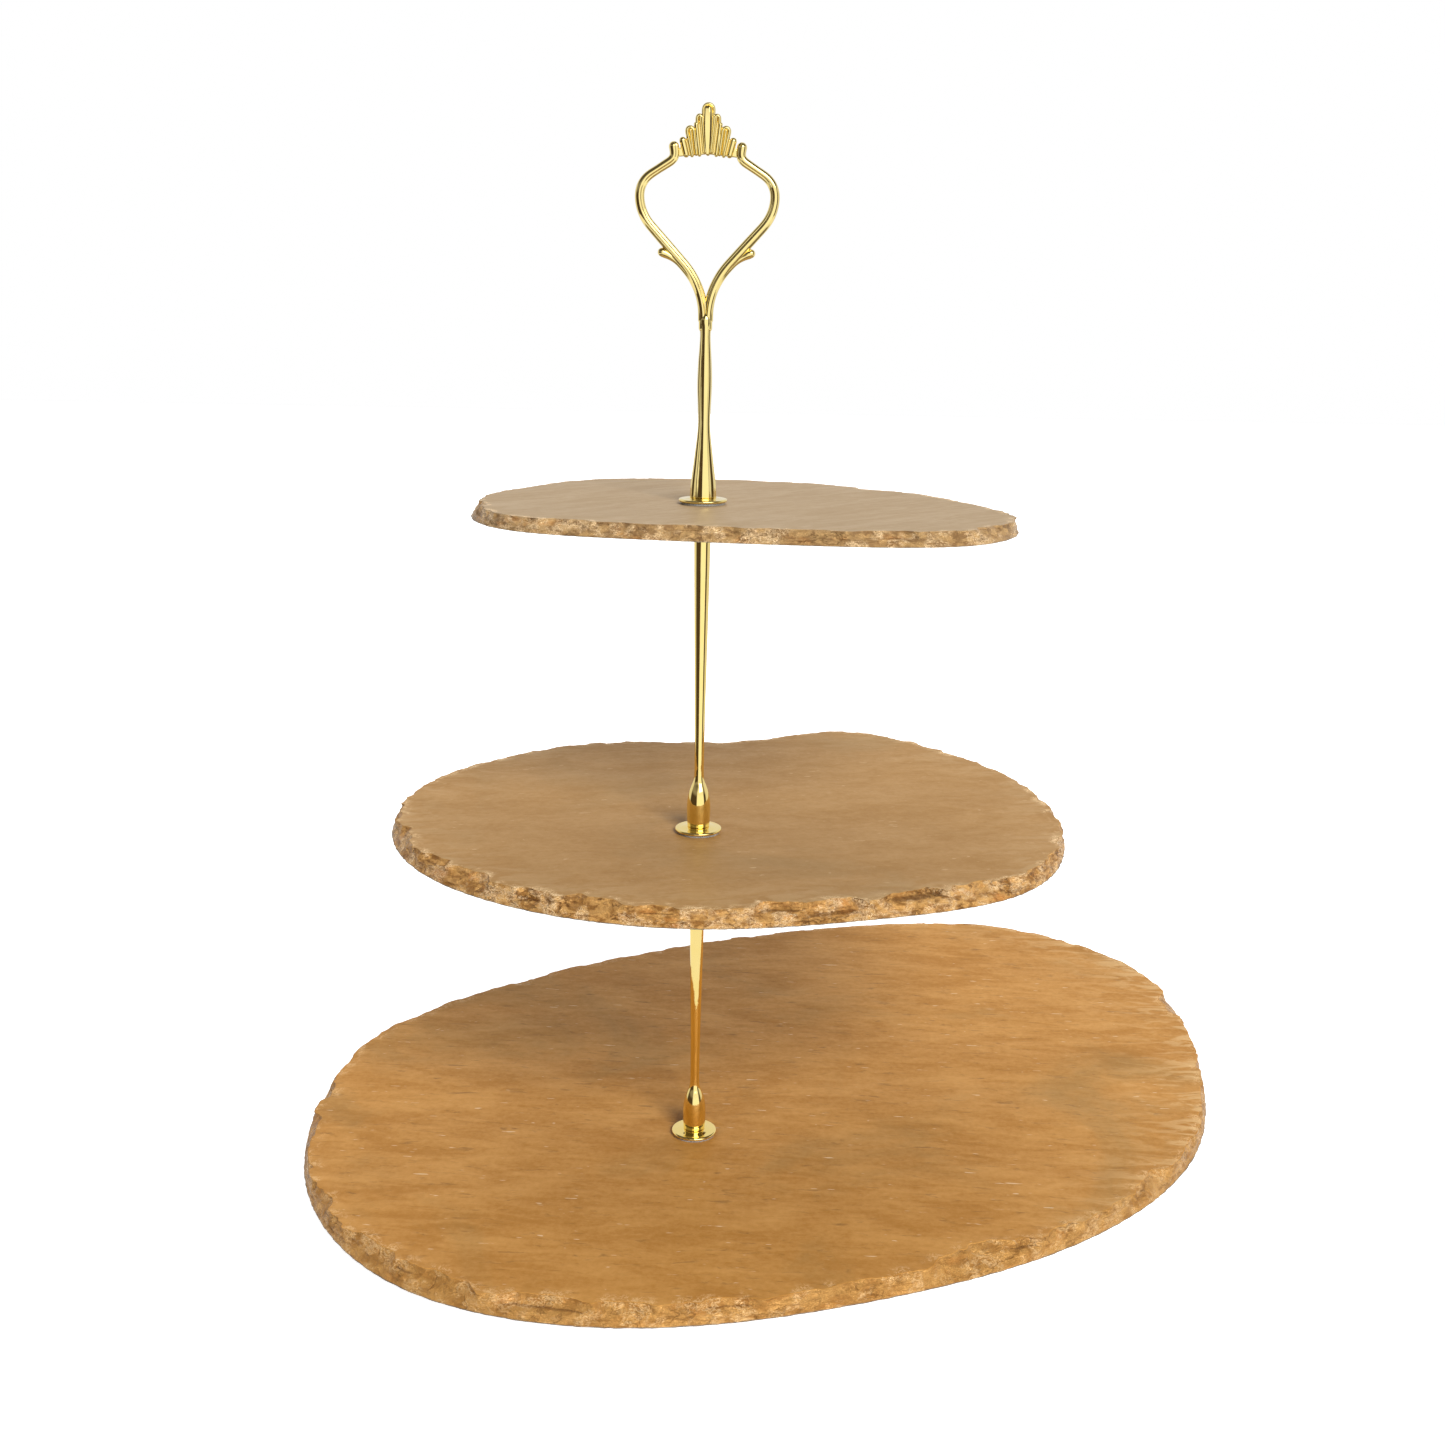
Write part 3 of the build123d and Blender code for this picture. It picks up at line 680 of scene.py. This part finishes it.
rodGold = metalMaterial(dict(
    material="rodGold", deep=(0.94, 0.72, 0.23, 1), light=(0.98, 0.79, 0.33, 1), smooth=0.05, dull=0.13,
    relief=(0.10, 0.0004)))
handleGold = metalMaterial(dict(
    material="handleGold", deep=(0.90, 0.71, 0.25, 1), light=(0.96, 0.80, 0.36, 1), smooth=0.06, dull=0.15,
    relief=(0.16, 0.0004)))
zincSteel = metalMaterial(dict(
    material="zincSteel", deep=(0.52, 0.52, 0.53, 1), light=(0.66, 0.66, 0.67, 1), smooth=0.22, dull=0.42,
    relief=(0.25, 0.0004)))
clearVinyl = vinylMaterial(vinylLook)
footRubber = rubberMaterial(rubberLook)
print("materials ready")

# Rubber feet: short cylinders with a soft lower rim, a dished sole and a slight waist
footShape = dict(dish=0.35, dishShare=0.55, soleShare=0.75, waist=0.25,
                 rounds=[0, 0.8, 0.6, 1.2, 2.0, 0.5, 0])
for node in ("foot_front_left", "foot_front_right", "foot_back_right", "foot_back_left"):
    low, high = boxOf(node)
    r = (high[0] - low[0]) / 2
    bottom, top = low[2], high[2]
    sole = bottom + footShape["dish"]
    corners = [(0, sole), (r * footShape["dishShare"], sole), (r * footShape["soleShare"], bottom),
               (r, bottom), (r - footShape["waist"], (bottom + top) / 2), (r, top), (0, top)]
    centre = (low + high) / 2
    foot = {"grid": turned(bevelled(corners, footShape["rounds"]), 72, centre[0], centre[1])}
    makePiece(node.replace("foot", "rubber_foot"), [foot], footRubber, "base", [node])


# Flat ring: a rectangle from the hole to the rim with rounded corners, spun round the post
def flatRing(hole, rim, low, high, rounding):
    profile = bevelled([(hole, low), (rim, low), (rim, high), (hole, high)], [rounding] * 4)
    return {"grid": turned(profile)}


# Clear gaskets: thin rings with rounded rims
gasketShape = dict(hole=2.4, rounding=0.3)
gasketBodies = {"base_gasket": "base", "lower_rod_gasket": "base", "middle_seat_gasket": "middle_tier",
                "upper_rod_gasket": "middle_tier", "top_seat_gasket": "top_tier", "handle_gasket": "top_tier"}
for node, body in gasketBodies.items():
    low, high = boxOf(node)
    ring = flatRing(gasketShape["hole"], (high[0] - low[0]) / 2, low[2], high[2], gasketShape["rounding"])
    makePiece(node.replace("gasket", "clear_ring"), [ring], clearVinyl, body, [node])

# Domed washers: a collar under the foot, a shallow dish and a rolled rim
washerShape = dict(hole=2.35, collar=1.5, holeRound=0.1, rimRound=0.25,
                   dish=[(4.1, 1.5), (4.9, 1.40), (5.8, 1.24), (6.6, 1.13), (7.2, 1.10)],
                   lip=[(7.8, 1.12), (8.2, 1.02), (8.42, 0.74), (8.45, 0.45), (8.3, 0.16), (8.0, 0.0)])
washerBodies = {"lower_rod_washer": ("lower_washer", rodGold, "rod_gold"),
                "upper_rod_washer": ("upper_washer", rodGold, "rod_gold"),
                "handle_washer": ("top_washer", handleGold, "handle_gold")}
for node, (body, material, slotName) in washerBodies.items():
    inside = [(washerShape["hole"], 0.0), (washerShape["hole"], washerShape["collar"])]
    outside = washerShape["dish"] + washerShape["lip"]
    rounds = [washerShape["holeRound"]] * len(inside) + [washerShape["rimRound"]] * len(outside)
    profile = bevelled(inside + outside, rounds, 4) + np.array([0, levels(node)[0]])
    washer = {"grid": turned(profile, 160)}
    makePiece(node.replace("washer", "domed_washer"), [washer], material, body, [node])

# Plain steel washer under the stand
flatWasherShape = dict(hole=2.35, rim=8.0, rounding=0.2)
low, high = levels("base_washer")
ring = flatRing(flatWasherShape["hole"], flatWasherShape["rim"], low, high, flatWasherShape["rounding"])
makePiece("base_flat_washer", [ring], zincSteel, "base", ["base_washer"])

# Rods: bell foot, thin neck, slow taper to the seat; radius is a curve through these heights.
# Corners of the seat are radius and distance below the top
rodShape = dict(
    heights=[0, 2.5, 6, 9, 11.5, 13.5, 15.2, 16.6, 18, 20, 24, 34, 56, 80, 98, 107.4],
    radii=[3.95, 4.15, 4.28, 4.18, 3.85, 3.35, 2.72, 2.15, 1.84, 1.72, 1.70, 1.78, 2.12, 2.52, 2.8, 2.9],
    bellRows=(0.25, 24, 60), taperRows=(24.8, 107.4, 70),
    seat=[(2.9, 3.2), (3.6, 2.0), (4.6, 1.8), (4.6, 0.0), (2.0, 0.0)], seatRounds=[0.5, 0.5, 0.35, 0.3, 0.1],
    bore=2.0, boreDepth=14.0, setDepth=8.0, mouth=[(2.0, 0.15), (2.15, 0.0), (3.7, 0.0), (3.88, 0.07)])


# Rod profile: the curve outside, the seat at the top, the two bores inside
def rodProfile(low, high):
    tall = high - low
    z = np.concatenate([np.linspace(*rodShape["bellRows"]), np.linspace(*rodShape["taperRows"])])
    outer = np.stack([throughPoints(rodShape["heights"], rodShape["radii"], z), z], -1)
    seat = bevelled([(r, tall - down) for r, down in rodShape["seat"]], rodShape["seatRounds"], 5)
    bore, setEnd, boreEnd = rodShape["bore"], tall - rodShape["setDepth"], rodShape["boreDepth"]
    inner = np.array([(bore, setEnd), (0.0, setEnd), (0.0, boreEnd), (bore, boreEnd)] + rodShape["mouth"])
    return np.concatenate([outer, seat, inner]) + np.array([0, low])


for node, body in (("lower_rod", "middle_tier"), ("upper_rod", "top_tier")):
    casting = {"grid": turned(rodProfile(*levels(node)), 160)}
    makePiece(node + "_casting", [casting], rodGold, body, [node])

threadShape = dict(pitch=0.7, depth=0.28, stepsPerTurn=10, sides=64, lead=0.6, leadDrop=0.3)


# Screw thread: radius falls off from the crest by the depth times a triangle wave of height over pitch less
# turn, and drops a little at both ends
def threadShell(low, high, radius):
    z = np.linspace(low, high, int((high - low) / threadShape["pitch"] * threadShape["stepsPerTurn"]))
    angle = np.linspace(0, 2 * np.pi, threadShape["sides"], endpoint=False)[:, None]
    phase = ((z - low) / threadShape["pitch"])[None] - angle / (2 * np.pi)
    wave = np.abs(2 * (phase % 1) - 1)
    taper = np.clip(np.minimum(z - low, high - z) / threadShape["lead"], 0, 1)[None]
    groove = threadShape["depth"] * np.clip(1.25 * wave - 0.1, 0, 1)
    r = radius - groove - threadShape["leadDrop"] * (1 - taper)
    r = np.concatenate([0 * angle, r, 0 * angle], 1)
    z = np.concatenate([[low], z, [high]])
    grid = np.stack([postX + r * np.cos(angle), postY + r * np.sin(angle), z[None] + 0 * angle], -1)
    return {"grid": grid, "closeColumns": False}


for node, body in (("lower_rod_stud", "middle_tier"), ("upper_rod_stud", "top_tier")):
    low, high = boxOf(node)
    stud = threadShell(low[2], high[2], (high[0] - low[0]) / 2)
    makePiece(node.replace("stud", "threaded_stud"), [stud], zincSteel, body, [node])

# Base screw: threaded shank over a low round head with a driver slot sunk across it
screwShape = dict(flat=4.6, rounding=0.9, rim=[(5.5, 1.85), (5.3, 2.0), (1.8, 2.0)], tall=2.0, shank=1.95,
                  slotWide=1.2, slotDeep=1.0, slotEdge=0.12, sides=240)


# Head: rings run from the middle of the underside out over the rounded rim to the shank; the slot lifts the
# rings whose distance from the cross line is under half its width
def headShell(low):
    flat = np.linspace(0, screwShape["flat"], 44)
    turn = np.linspace(0, np.pi / 2, 8)[1:]
    rim = np.array(screwShape["rim"])
    r = np.concatenate([flat, screwShape["flat"] + screwShape["rounding"] * np.sin(turn), rim[:, 0]])
    z = np.concatenate([0 * flat, screwShape["rounding"] * (1 - np.cos(turn)), rim[:, 1]])
    angle = np.linspace(0, 2 * np.pi, screwShape["sides"], endpoint=False)[:, None]
    x, y = r[None] * np.cos(angle), r[None] * np.sin(angle)
    inSlot = np.clip((screwShape["slotWide"] / 2 - np.abs(y)) / screwShape["slotEdge"] + 0.5, 0, 1)
    inSlot = inSlot * (z < screwShape["slotDeep"])[None]
    lifted = np.maximum(z[None], screwShape["slotDeep"] * inSlot)
    grid = np.stack([postX + x, postY + y, low + lifted], -1)
    middle = np.broadcast_to([postX, postY, low + screwShape["tall"]], (screwShape["sides"], 1, 3))
    return {"grid": np.concatenate([grid, middle], 1), "closeColumns": False}


low, high = levels("base_screw")
shank = threadShell(low + screwShape["tall"], high, screwShape["shank"])
makePiece("base_slotted_screw", [headShell(low), shank], zincSteel, "base", ["base_screw"])
print("post hardware ready")

# Crown handle, seen from the front: x to the right and z up from its foot. A stretch of a path is a length
# and a curvature; the groove of an arm is an angle, a depth and a width
handleShape = dict(
    stemHeights=[0, 5, 11, 16, 21, 25, 30, 38, 46, 51, 54.5, 57.8, 59.8, 61.0, 62.0],
    stemRadii=[4.6, 4.3, 3.55, 2.95, 2.35, 2.08, 2.2, 2.48, 2.26, 1.92, 1.78, 1.95, 2.0, 1.6, 0.9],
    flutes=12, fluteSteps=14, fluteTurn=0.3, fluteDepth=0.075,
    fadeHeights=[0, 4, 50, 57, 58.4, 62], fadeShares=[0.8, 1.0, 0.8, 0.6, 0.0, 0.0],
    armStart=(0.7, 56.9), armRadius=1.72, armGroove=(2.05, 0.17, 0.22),
    armStretches=[(3.5, 0), (26 * 0.738, 1 / 26), (16.6, 0), (14.2 * 0.738, -1 / 14.2),
                  (8.0 * 0.995, -1 / 8.0), (8.1, 0), (2.1 * 1.169, 1 / 2.1), (1.9, 0)],
    armPlaces=[0, 0.12, 0.45, 0.75, 0.86, 0.94, 1], armSwell=[0.9, 0.95, 1.0, 0.9, 0.84, 0.9, 0.98],
    budStart=(1.3, 59.6), budStretches=[(1.5, 0), (22.0 * 1.17, 1 / 22.0)], budRadius=1.22,
    budWaist=0.22, budTip=0.28, sheetHalf=10.6, sheetThin=0.4, sheetEnd=0.4,
    tipPlaces=[0, 2.0, 2.7, 3.4, 4.0, 4.7, 5.8, 6.6, 7.3, 8.3, 9.2, 10.6],
    tipHeights=[126.0, 124.9, 124.6, 122.0, 122.0, 120.0, 120.5, 119.2, 117.0, 117.0, 114.4, 113.8],
    archPlaces=[0, 5, 10.6], archHeights=[112.6, 112.1, 111.6],
    lanceHeights=[112.9, 114.5, 117, 120, 123, 125.2, 126.6],
    lanceRadii=[0.80, 1.10, 1.42, 1.62, 1.68, 1.6, 1.45])
handleLow = levels("crown_handle")[0]


# Path in the handle's plane: every stretch has a length and a curvature; the heading is the running sum of
# the curvature, and the points are the running sum of the heading
def walk(start, heading, stretches, step=0.35):
    ends = np.cumsum([length for length, bend in stretches])
    bends = np.array([bend for length, bend in stretches])
    s = np.linspace(0, ends[-1], int(ends[-1] / step) + 1)
    bend = bends[np.clip(np.searchsorted(ends, s - 1e-9), 0, len(ends) - 1)]
    bend = np.convolve(np.pad(bend, 4, mode="edge"), np.ones(9) / 9, mode="valid")
    ds = np.diff(s, prepend=0)
    head = heading + np.cumsum(bend * ds)
    x = start[0] + np.cumsum(np.sin(head - bend * ds / 2) * ds)
    z = start[1] + np.cumsum(np.cos(head - bend * ds / 2) * ds)
    return np.stack([x, z], -1), head, s


# Tube along such a path: a ring of the section is laid across the heading at each point, scaled by the radius
# there, and both ends close in a half round
def tube(path, head, radius, across, depth, capSteps=7):
    a = np.linspace(0, np.pi / 2, capSteps + 1)[1:]
    along = np.stack([np.sin(head), np.cos(head)], -1)
    first = path[0] - along[0] * (radius[0] * np.sin(a))[::-1, None]
    last = path[-1] + along[-1] * (radius[-1] * np.sin(a))[:, None]
    path = np.concatenate([first, path, last])
    head = np.concatenate([np.full(capSteps, head[0]), head, np.full(capSteps, head[-1])])
    radius = np.concatenate([(radius[0] * np.cos(a))[::-1], radius, radius[-1] * np.cos(a)])
    x = path[:, :1] + radius[:, None] * np.cos(head)[:, None] * across[None]
    z = path[:, 1:] - radius[:, None] * np.sin(head)[:, None] * across[None]
    y = radius[:, None] * depth[None]
    return x, y, z


# Handle coordinates set on the post, mirrored for side -1
def placed(x, y, z, side=1):
    grid = np.stack([postX + side * x, postY + y, handleLow + z], -1)
    return {"grid": grid, "closeRows": False}


# Section with a groove: a circle pinched in near one angle, front and back alike
def groovedSection(count, at, depth, wide):
    angle = np.linspace(0, 2 * np.pi, count, endpoint=False)
    off = np.abs(np.abs((angle + np.pi) % (2 * np.pi) - np.pi) - at)
    r = 1 - depth * np.exp(-(off / wide) ** 2)
    return r * np.cos(angle), -r * np.sin(angle)


# Leaf section: steep walls under a roof that is nearly level on one side of its ridge and slopes on the other
def ridgedSection(count, wall, roof, ridge):
    angle = np.linspace(0, 2 * np.pi, count, endpoint=False)
    across = np.cos(angle)
    roofed = 1 + roof * np.interp(across, [-1, ridge, 1], [0.9, 1, 0])
    rise = wall * np.clip(1 - across ** 8, 0, None) ** 0.5 * roofed
    return across, -np.sign(np.sin(angle)) * rise


# Round section: a circle, or an oval where its depth isn't 1
def roundSection(count, depth=1.0):
    angle = np.linspace(0, 2 * np.pi, count, endpoint=False)
    return np.cos(angle), -depth * np.sin(angle)


# Fluted stem: radius follows the height curve, less a scallop between the ridges
def stemShell():
    tall = handleShape["stemHeights"][-1]
    flutes = handleShape["flutes"]
    z = np.linspace(0, tall, 150)
    r = throughPoints(handleShape["stemHeights"], handleShape["stemRadii"], z)
    angle = np.linspace(0, 2 * np.pi, flutes * handleShape["fluteSteps"], endpoint=False)[:, None]
    fade = np.interp(z, handleShape["fadeHeights"], handleShape["fadeShares"])
    scallop = np.abs(np.sin(angle * flutes / 2 + handleShape["fluteTurn"]))
    r = r[None] * (1 - handleShape["fluteDepth"] * fade[None] * scallop)
    r = np.concatenate([0 * angle, r, 0 * angle], 1)
    z = np.concatenate([[0], z, [tall]])
    x, y = r * np.cos(angle), r * np.sin(angle)
    grid = np.stack([postX + x, postY + y, handleLow + z[None] + 0 * angle], -1)
    return {"grid": grid, "closeColumns": False}


# Bar of the crown: a straight tube from root to tip
def bar(root, tip, rootRadius, tipRadius, sides, depth, side):
    root, tip = np.array(root, float), np.array(tip, float)
    rows = 26
    t = np.linspace(0, 1, rows)[:, None]
    path = root * (1 - t) + tip * t
    head = np.full(rows, math.atan2(tip[0] - root[0], tip[1] - root[1]))
    radius = np.linspace(rootRadius, tipRadius, rows)
    return placed(*tube(path, head, radius, *roundSection(sides, depth)), side)


# Looped leaf: a thin tube up one side, round the tip and down the other
def looped(root, lean, tall, half, wire, depth, side):
    start = np.array(root) - half * np.array([math.cos(lean), -math.sin(lean)])
    path, head, s = walk(start, lean, [(tall, 0), (np.pi * half, 1 / half), (tall, 0)], 0.18)
    return placed(*tube(path, head, np.full(len(s), wire), *roundSection(20, depth)), side)


# Backing sheet of the crown: a thin rounded strip whose lower side is the arch and whose upper side follows
# the tips
def backingShell():
    half = handleShape["sheetHalf"]
    x = np.linspace(-half, half, 90)
    top = np.interp(np.abs(x), handleShape["tipPlaces"], handleShape["tipHeights"])
    arch = np.interp(np.abs(x), handleShape["archPlaces"], handleShape["archHeights"])
    ends = np.clip((half - np.abs(x)) / handleShape["sheetEnd"], 0, 1)[:, None]
    angle = np.linspace(0, 2 * np.pi, 36, endpoint=False)[None]
    up = np.sign(np.sin(angle)) * np.abs(np.sin(angle)) ** 0.5
    out = np.sign(np.cos(angle)) * np.abs(np.cos(angle)) ** 0.6
    z = ((top + arch) / 2)[:, None] + ((top - arch) / 2)[:, None] * up * ends
    return placed(x[:, None] + 0 * z, handleShape["sheetThin"] * out * ends, z)


# Leaves on each side of the crown, from the outermost in. A bar has its root, tip, radii, sides and depth, a
# loop its root, lean, height, half width, wire and depth
crownLeaves = [
    (bar, (7.15, 112.5), (8.3, 116.8), 1.05, 1.15, 32, 1.0),
    (looped, (4.8, 112.5), 0.13, 7.7, 1.0, 0.66, 1.7),
    (bar, (4.85, 112.5), (5.82, 120.0), 0.5, 0.55, 24, 1.5),
    (bar, (2.75, 112.5), (3.95, 121.9), 0.72, 0.8, 24, 1.4),
    (looped, (1.5, 113.2), 0.11, 11.1, 0.6, 0.6, 1.7),
    (bar, (1.5, 113.2), (2.7, 124.2), 0.4, 0.45, 24, 1.9)]


# Arm: a grooved tube that swells along its path
def armShell(side):
    path, head, s = walk(handleShape["armStart"], 0.0, handleShape["armStretches"])
    swell = np.interp(s / s[-1], handleShape["armPlaces"], handleShape["armSwell"])
    section = groovedSection(48, *handleShape["armGroove"])
    return placed(*tube(path, head, handleShape["armRadius"] * swell, *section), side)


# Bud: a round tube with a waist a little before its swollen tip, both bell curves of the length left to go
def budShell(side):
    path, head, s = walk(handleShape["budStart"], 0.0, handleShape["budStretches"])
    left = s[-1] - s
    waist = handleShape["budWaist"] * np.exp(-((left - 5.5) / 2.6) ** 2)
    tip = handleShape["budTip"] * np.exp(-((left - 0.6) / 1.7) ** 2)
    return placed(*tube(path, head, handleShape["budRadius"] - waist + tip, *roundSection(36)), side)


# Lance: the middle leaf, upright, its half width a curve through the heights
def lanceShell():
    heights = handleShape["lanceHeights"]
    z = np.linspace(heights[0], heights[-1], 60)
    radius = throughPoints(heights, handleShape["lanceRadii"], z)
    return placed(*tube(np.stack([0 * z, z], -1), 0 * z, radius, *ridgedSection(96, 0.55, 0.85, 0.3)))


handleShells = [stemShell(), backingShell()]
for side in (1, -1):
    handleShells += [armShell(side), budShell(side)]
    handleShells += [make(*sizes, side) for make, *sizes in crownLeaves]
handleShells += [looped((0.0, 121.0), 0.0, 5.7, 1.7, 0.54, 1.7, 1), lanceShell()]
makePiece("crown_handle_casting", handleShells, handleGold, "handle", ["crown_handle"])
print("handle ready")

# Floor, light and camera, in metres
stageLook = dict(
    floorWide=3.0, floorNear=-0.45, floorFar=4.0, floorDrop=2e-4, floorGlow=0.22, floorWhite=0.85,
    floorTones=((0.78, 0.775, 0.765, 1), (0.80, 0.795, 0.785, 1)), floorRough=(0.55, 0.7), aim=(0, 0, 0.15))


# Pale floor: faintly mottled, glowing a little, and nearly white to the camera
def floorMaterial(look):
    material, tree, shader, place = newMaterial("paleFloor")
    mottle = noise(tree, place, 6.0)
    tree.links.new(mixed(tree, mottle, *look["floorTones"]), shader.inputs["Base Color"])
    tree.links.new(ramped(tree, mottle, 0.3, 0.7, *look["floorRough"]), shader.inputs["Roughness"])
    shader.inputs["Emission Color"].default_value = (1, 1, 1, 1)
    seen = addNode(tree, "LightPath").outputs["Is Camera Ray"]
    glow = between(tree, seen, look["floorGlow"], look["floorWhite"])
    tree.links.new(glow, shader.inputs["Emission Strength"])
    return material


wide, level = stageLook["floorWide"], -stageLook["floorDrop"]
near, far = stageLook["floorNear"], stageLook["floorFar"]
corners = [(-wide, near, level), (wide, near, level), (wide, far, level), (-wide, far, level)]
floorMesh = bpy.data.meshes.new("floor")
floorMesh.from_pydata(corners, [], [(0, 1, 2, 3)])
floorMesh.materials.append(floorMaterial(stageLook))
floor = bpy.data.objects.new("floor", floorMesh)
bpy.context.scene.collection.objects.link(floor)
floor.visible_glossy = False  # the metal mirrors the studio bands, which run on below the horizon


# Rectangular lamp aimed at the stand
def softbox(name, place, wide, tall, power):
    light = bpy.data.lights.new(name, "AREA")
    light.shape = "RECTANGLE"
    light.size = wide
    light.size_y = tall
    light.energy = power
    lamp = bpy.data.objects.new(name, light)
    lamp.location = place
    lamp.visible_glossy = False  # polished metal mirrors the studio round it, not the lamp itself
    reach = np.array(stageLook["aim"], float) - np.array(place, float)
    lamp.rotation_euler = Vector(reach).to_track_quat("-Z", "Y").to_euler()
    bpy.context.scene.collection.objects.link(lamp)


softbox("keySoftbox", (1.8, -4.5, 3.5), 2.2, 2.0, 450.0)
softbox("topSoftbox", (0.0, 0.35, 1.9), 2.2, 1.6, 15.0)

# White studio. The camera sees plain white; reflections see bright bands in front, at the sides and behind
# with brown gaps between, a white floor with a dark pit below it, haze higher up, a dark ceiling in front and
# a lamp window; diffuse rays see it dimmed. Bands are degrees round from the front. Up, Back and Right are
# the parts of a direction between which a tone comes in
studioLook = dict(
    side=(0.82, 0.81, 0.80, 1), gap=(0.075, 0.052, 0.035, 1), front=(1.15, 1.15, 1.15, 1),
    bands=[(-180, "side"), (-98, "side"), (-86, "gap"), (-22, "gap"), (-14, "front"), (52, "front"),
           (58, "gap"), (76, "gap"), (86, "side")],
    floor=(1.0, 0.99, 0.97, 1), floorUp=(-0.315, -0.345), pit=(0.2, 0.17, 0.14, 1), pitUp=(-0.48, -0.60),
    haze=(0.8, 0.8, 0.8, 1), hazeUp=(0.10, 0.26), hazeShare=0.3,
    ceiling=(0.10, 0.09, 0.08, 1), ceilingUp=(0.30, 0.55), ceilingBack=(0.50, 0.20),
    window=(5.0, 5.0, 5.0, 1), windowBack=(-0.55, -0.65), windowRight=(0.02, 0.10), windowUp=(0.30, 0.36),
    windowTop=(0.74, 0.68), dimmed=0.34)
world = bpy.data.worlds.new("studio")
bpy.context.scene.world = world
world.use_nodes = True
tree = world.node_tree
tree.nodes.clear()
direction = addNode(tree, "TexCoord").outputs["Generated"]
right, back, up = addNode(tree, "SeparateXYZ", {0: direction}).outputs
turn = calc(tree, "ARCTAN2", right, calc(tree, "MULTIPLY", back, -1.0))
turn = calc(tree, "MULTIPLY_ADD", turn, 1 / (2 * math.pi), 0.5)
bands = addNode(tree, "ValToRGB", {0: turn})
stops = bands.color_ramp.elements
while len(stops) < len(studioLook["bands"]):
    stops.new(0.5)
for stop, (degrees, tone) in zip(stops, studioLook["bands"]):
    stop.position = (degrees + 180) / 360
    stop.color = studioLook[tone]


# Share of the studio that lies within both fades
def within(first, firstFade, second, secondFade):
    return calc(tree, "MULTIPLY", ramped(tree, first, *studioLook[firstFade]),
                ramped(tree, second, *studioLook[secondFade]))


studio = mixed(tree, ramped(tree, up, *studioLook["floorUp"]), bands.outputs[0], studioLook["floor"])
studio = mixed(tree, ramped(tree, up, *studioLook["pitUp"]), studio, studioLook["pit"])
hazy = ramped(tree, up, *studioLook["hazeUp"], 0.0, studioLook["hazeShare"])
studio = mixed(tree, hazy, studio, studioLook["haze"])
studio = mixed(tree, within(up, "ceilingUp", back, "ceilingBack"), studio, studioLook["ceiling"])
inWindow = calc(tree, "MULTIPLY", within(back, "windowBack", right, "windowRight"),
                within(up, "windowUp", up, "windowTop"))
studio = mixed(tree, inWindow, studio, studioLook["window"])
rays = addNode(tree, "LightPath").outputs
dimmed = calc(tree, "MULTIPLY", rays["Is Diffuse Ray"], studioLook["dimmed"])
studio = mixed(tree, dimmed, studio, (0, 0, 0, 1))
studio = mixed(tree, rays["Is Camera Ray"], studio, (1, 1, 1, 1))
backdrop = addNode(tree, "Background", {"Color": studio, "Strength": 1.0})
addNode(tree, "OutputWorld", {"Surface": backdrop.outputs[0]})

cameraLook = dict(place=(-0.0277, -0.6443, 0.3230), pitch=75.74, roll=1.01, lens=42.35, sensor=36.0,
                  near=0.01)
camera = bpy.data.objects.new("camera", bpy.data.cameras.new("camera"))
camera.data.lens = cameraLook["lens"]
camera.data.sensor_width = cameraLook["sensor"]
camera.data.clip_start = cameraLook["near"]
camera.location = cameraLook["place"]
pitch = Matrix.Rotation(math.radians(cameraLook["pitch"]), 3, "X")
roll = Matrix.Rotation(math.radians(cameraLook["roll"]), 3, "Z")
camera.rotation_euler = (pitch @ roll).to_euler()
bpy.context.scene.collection.objects.link(camera)
bpy.context.scene.camera = camera
bpy.context.scene.view_settings.view_transform = "Standard"
print("stage ready")
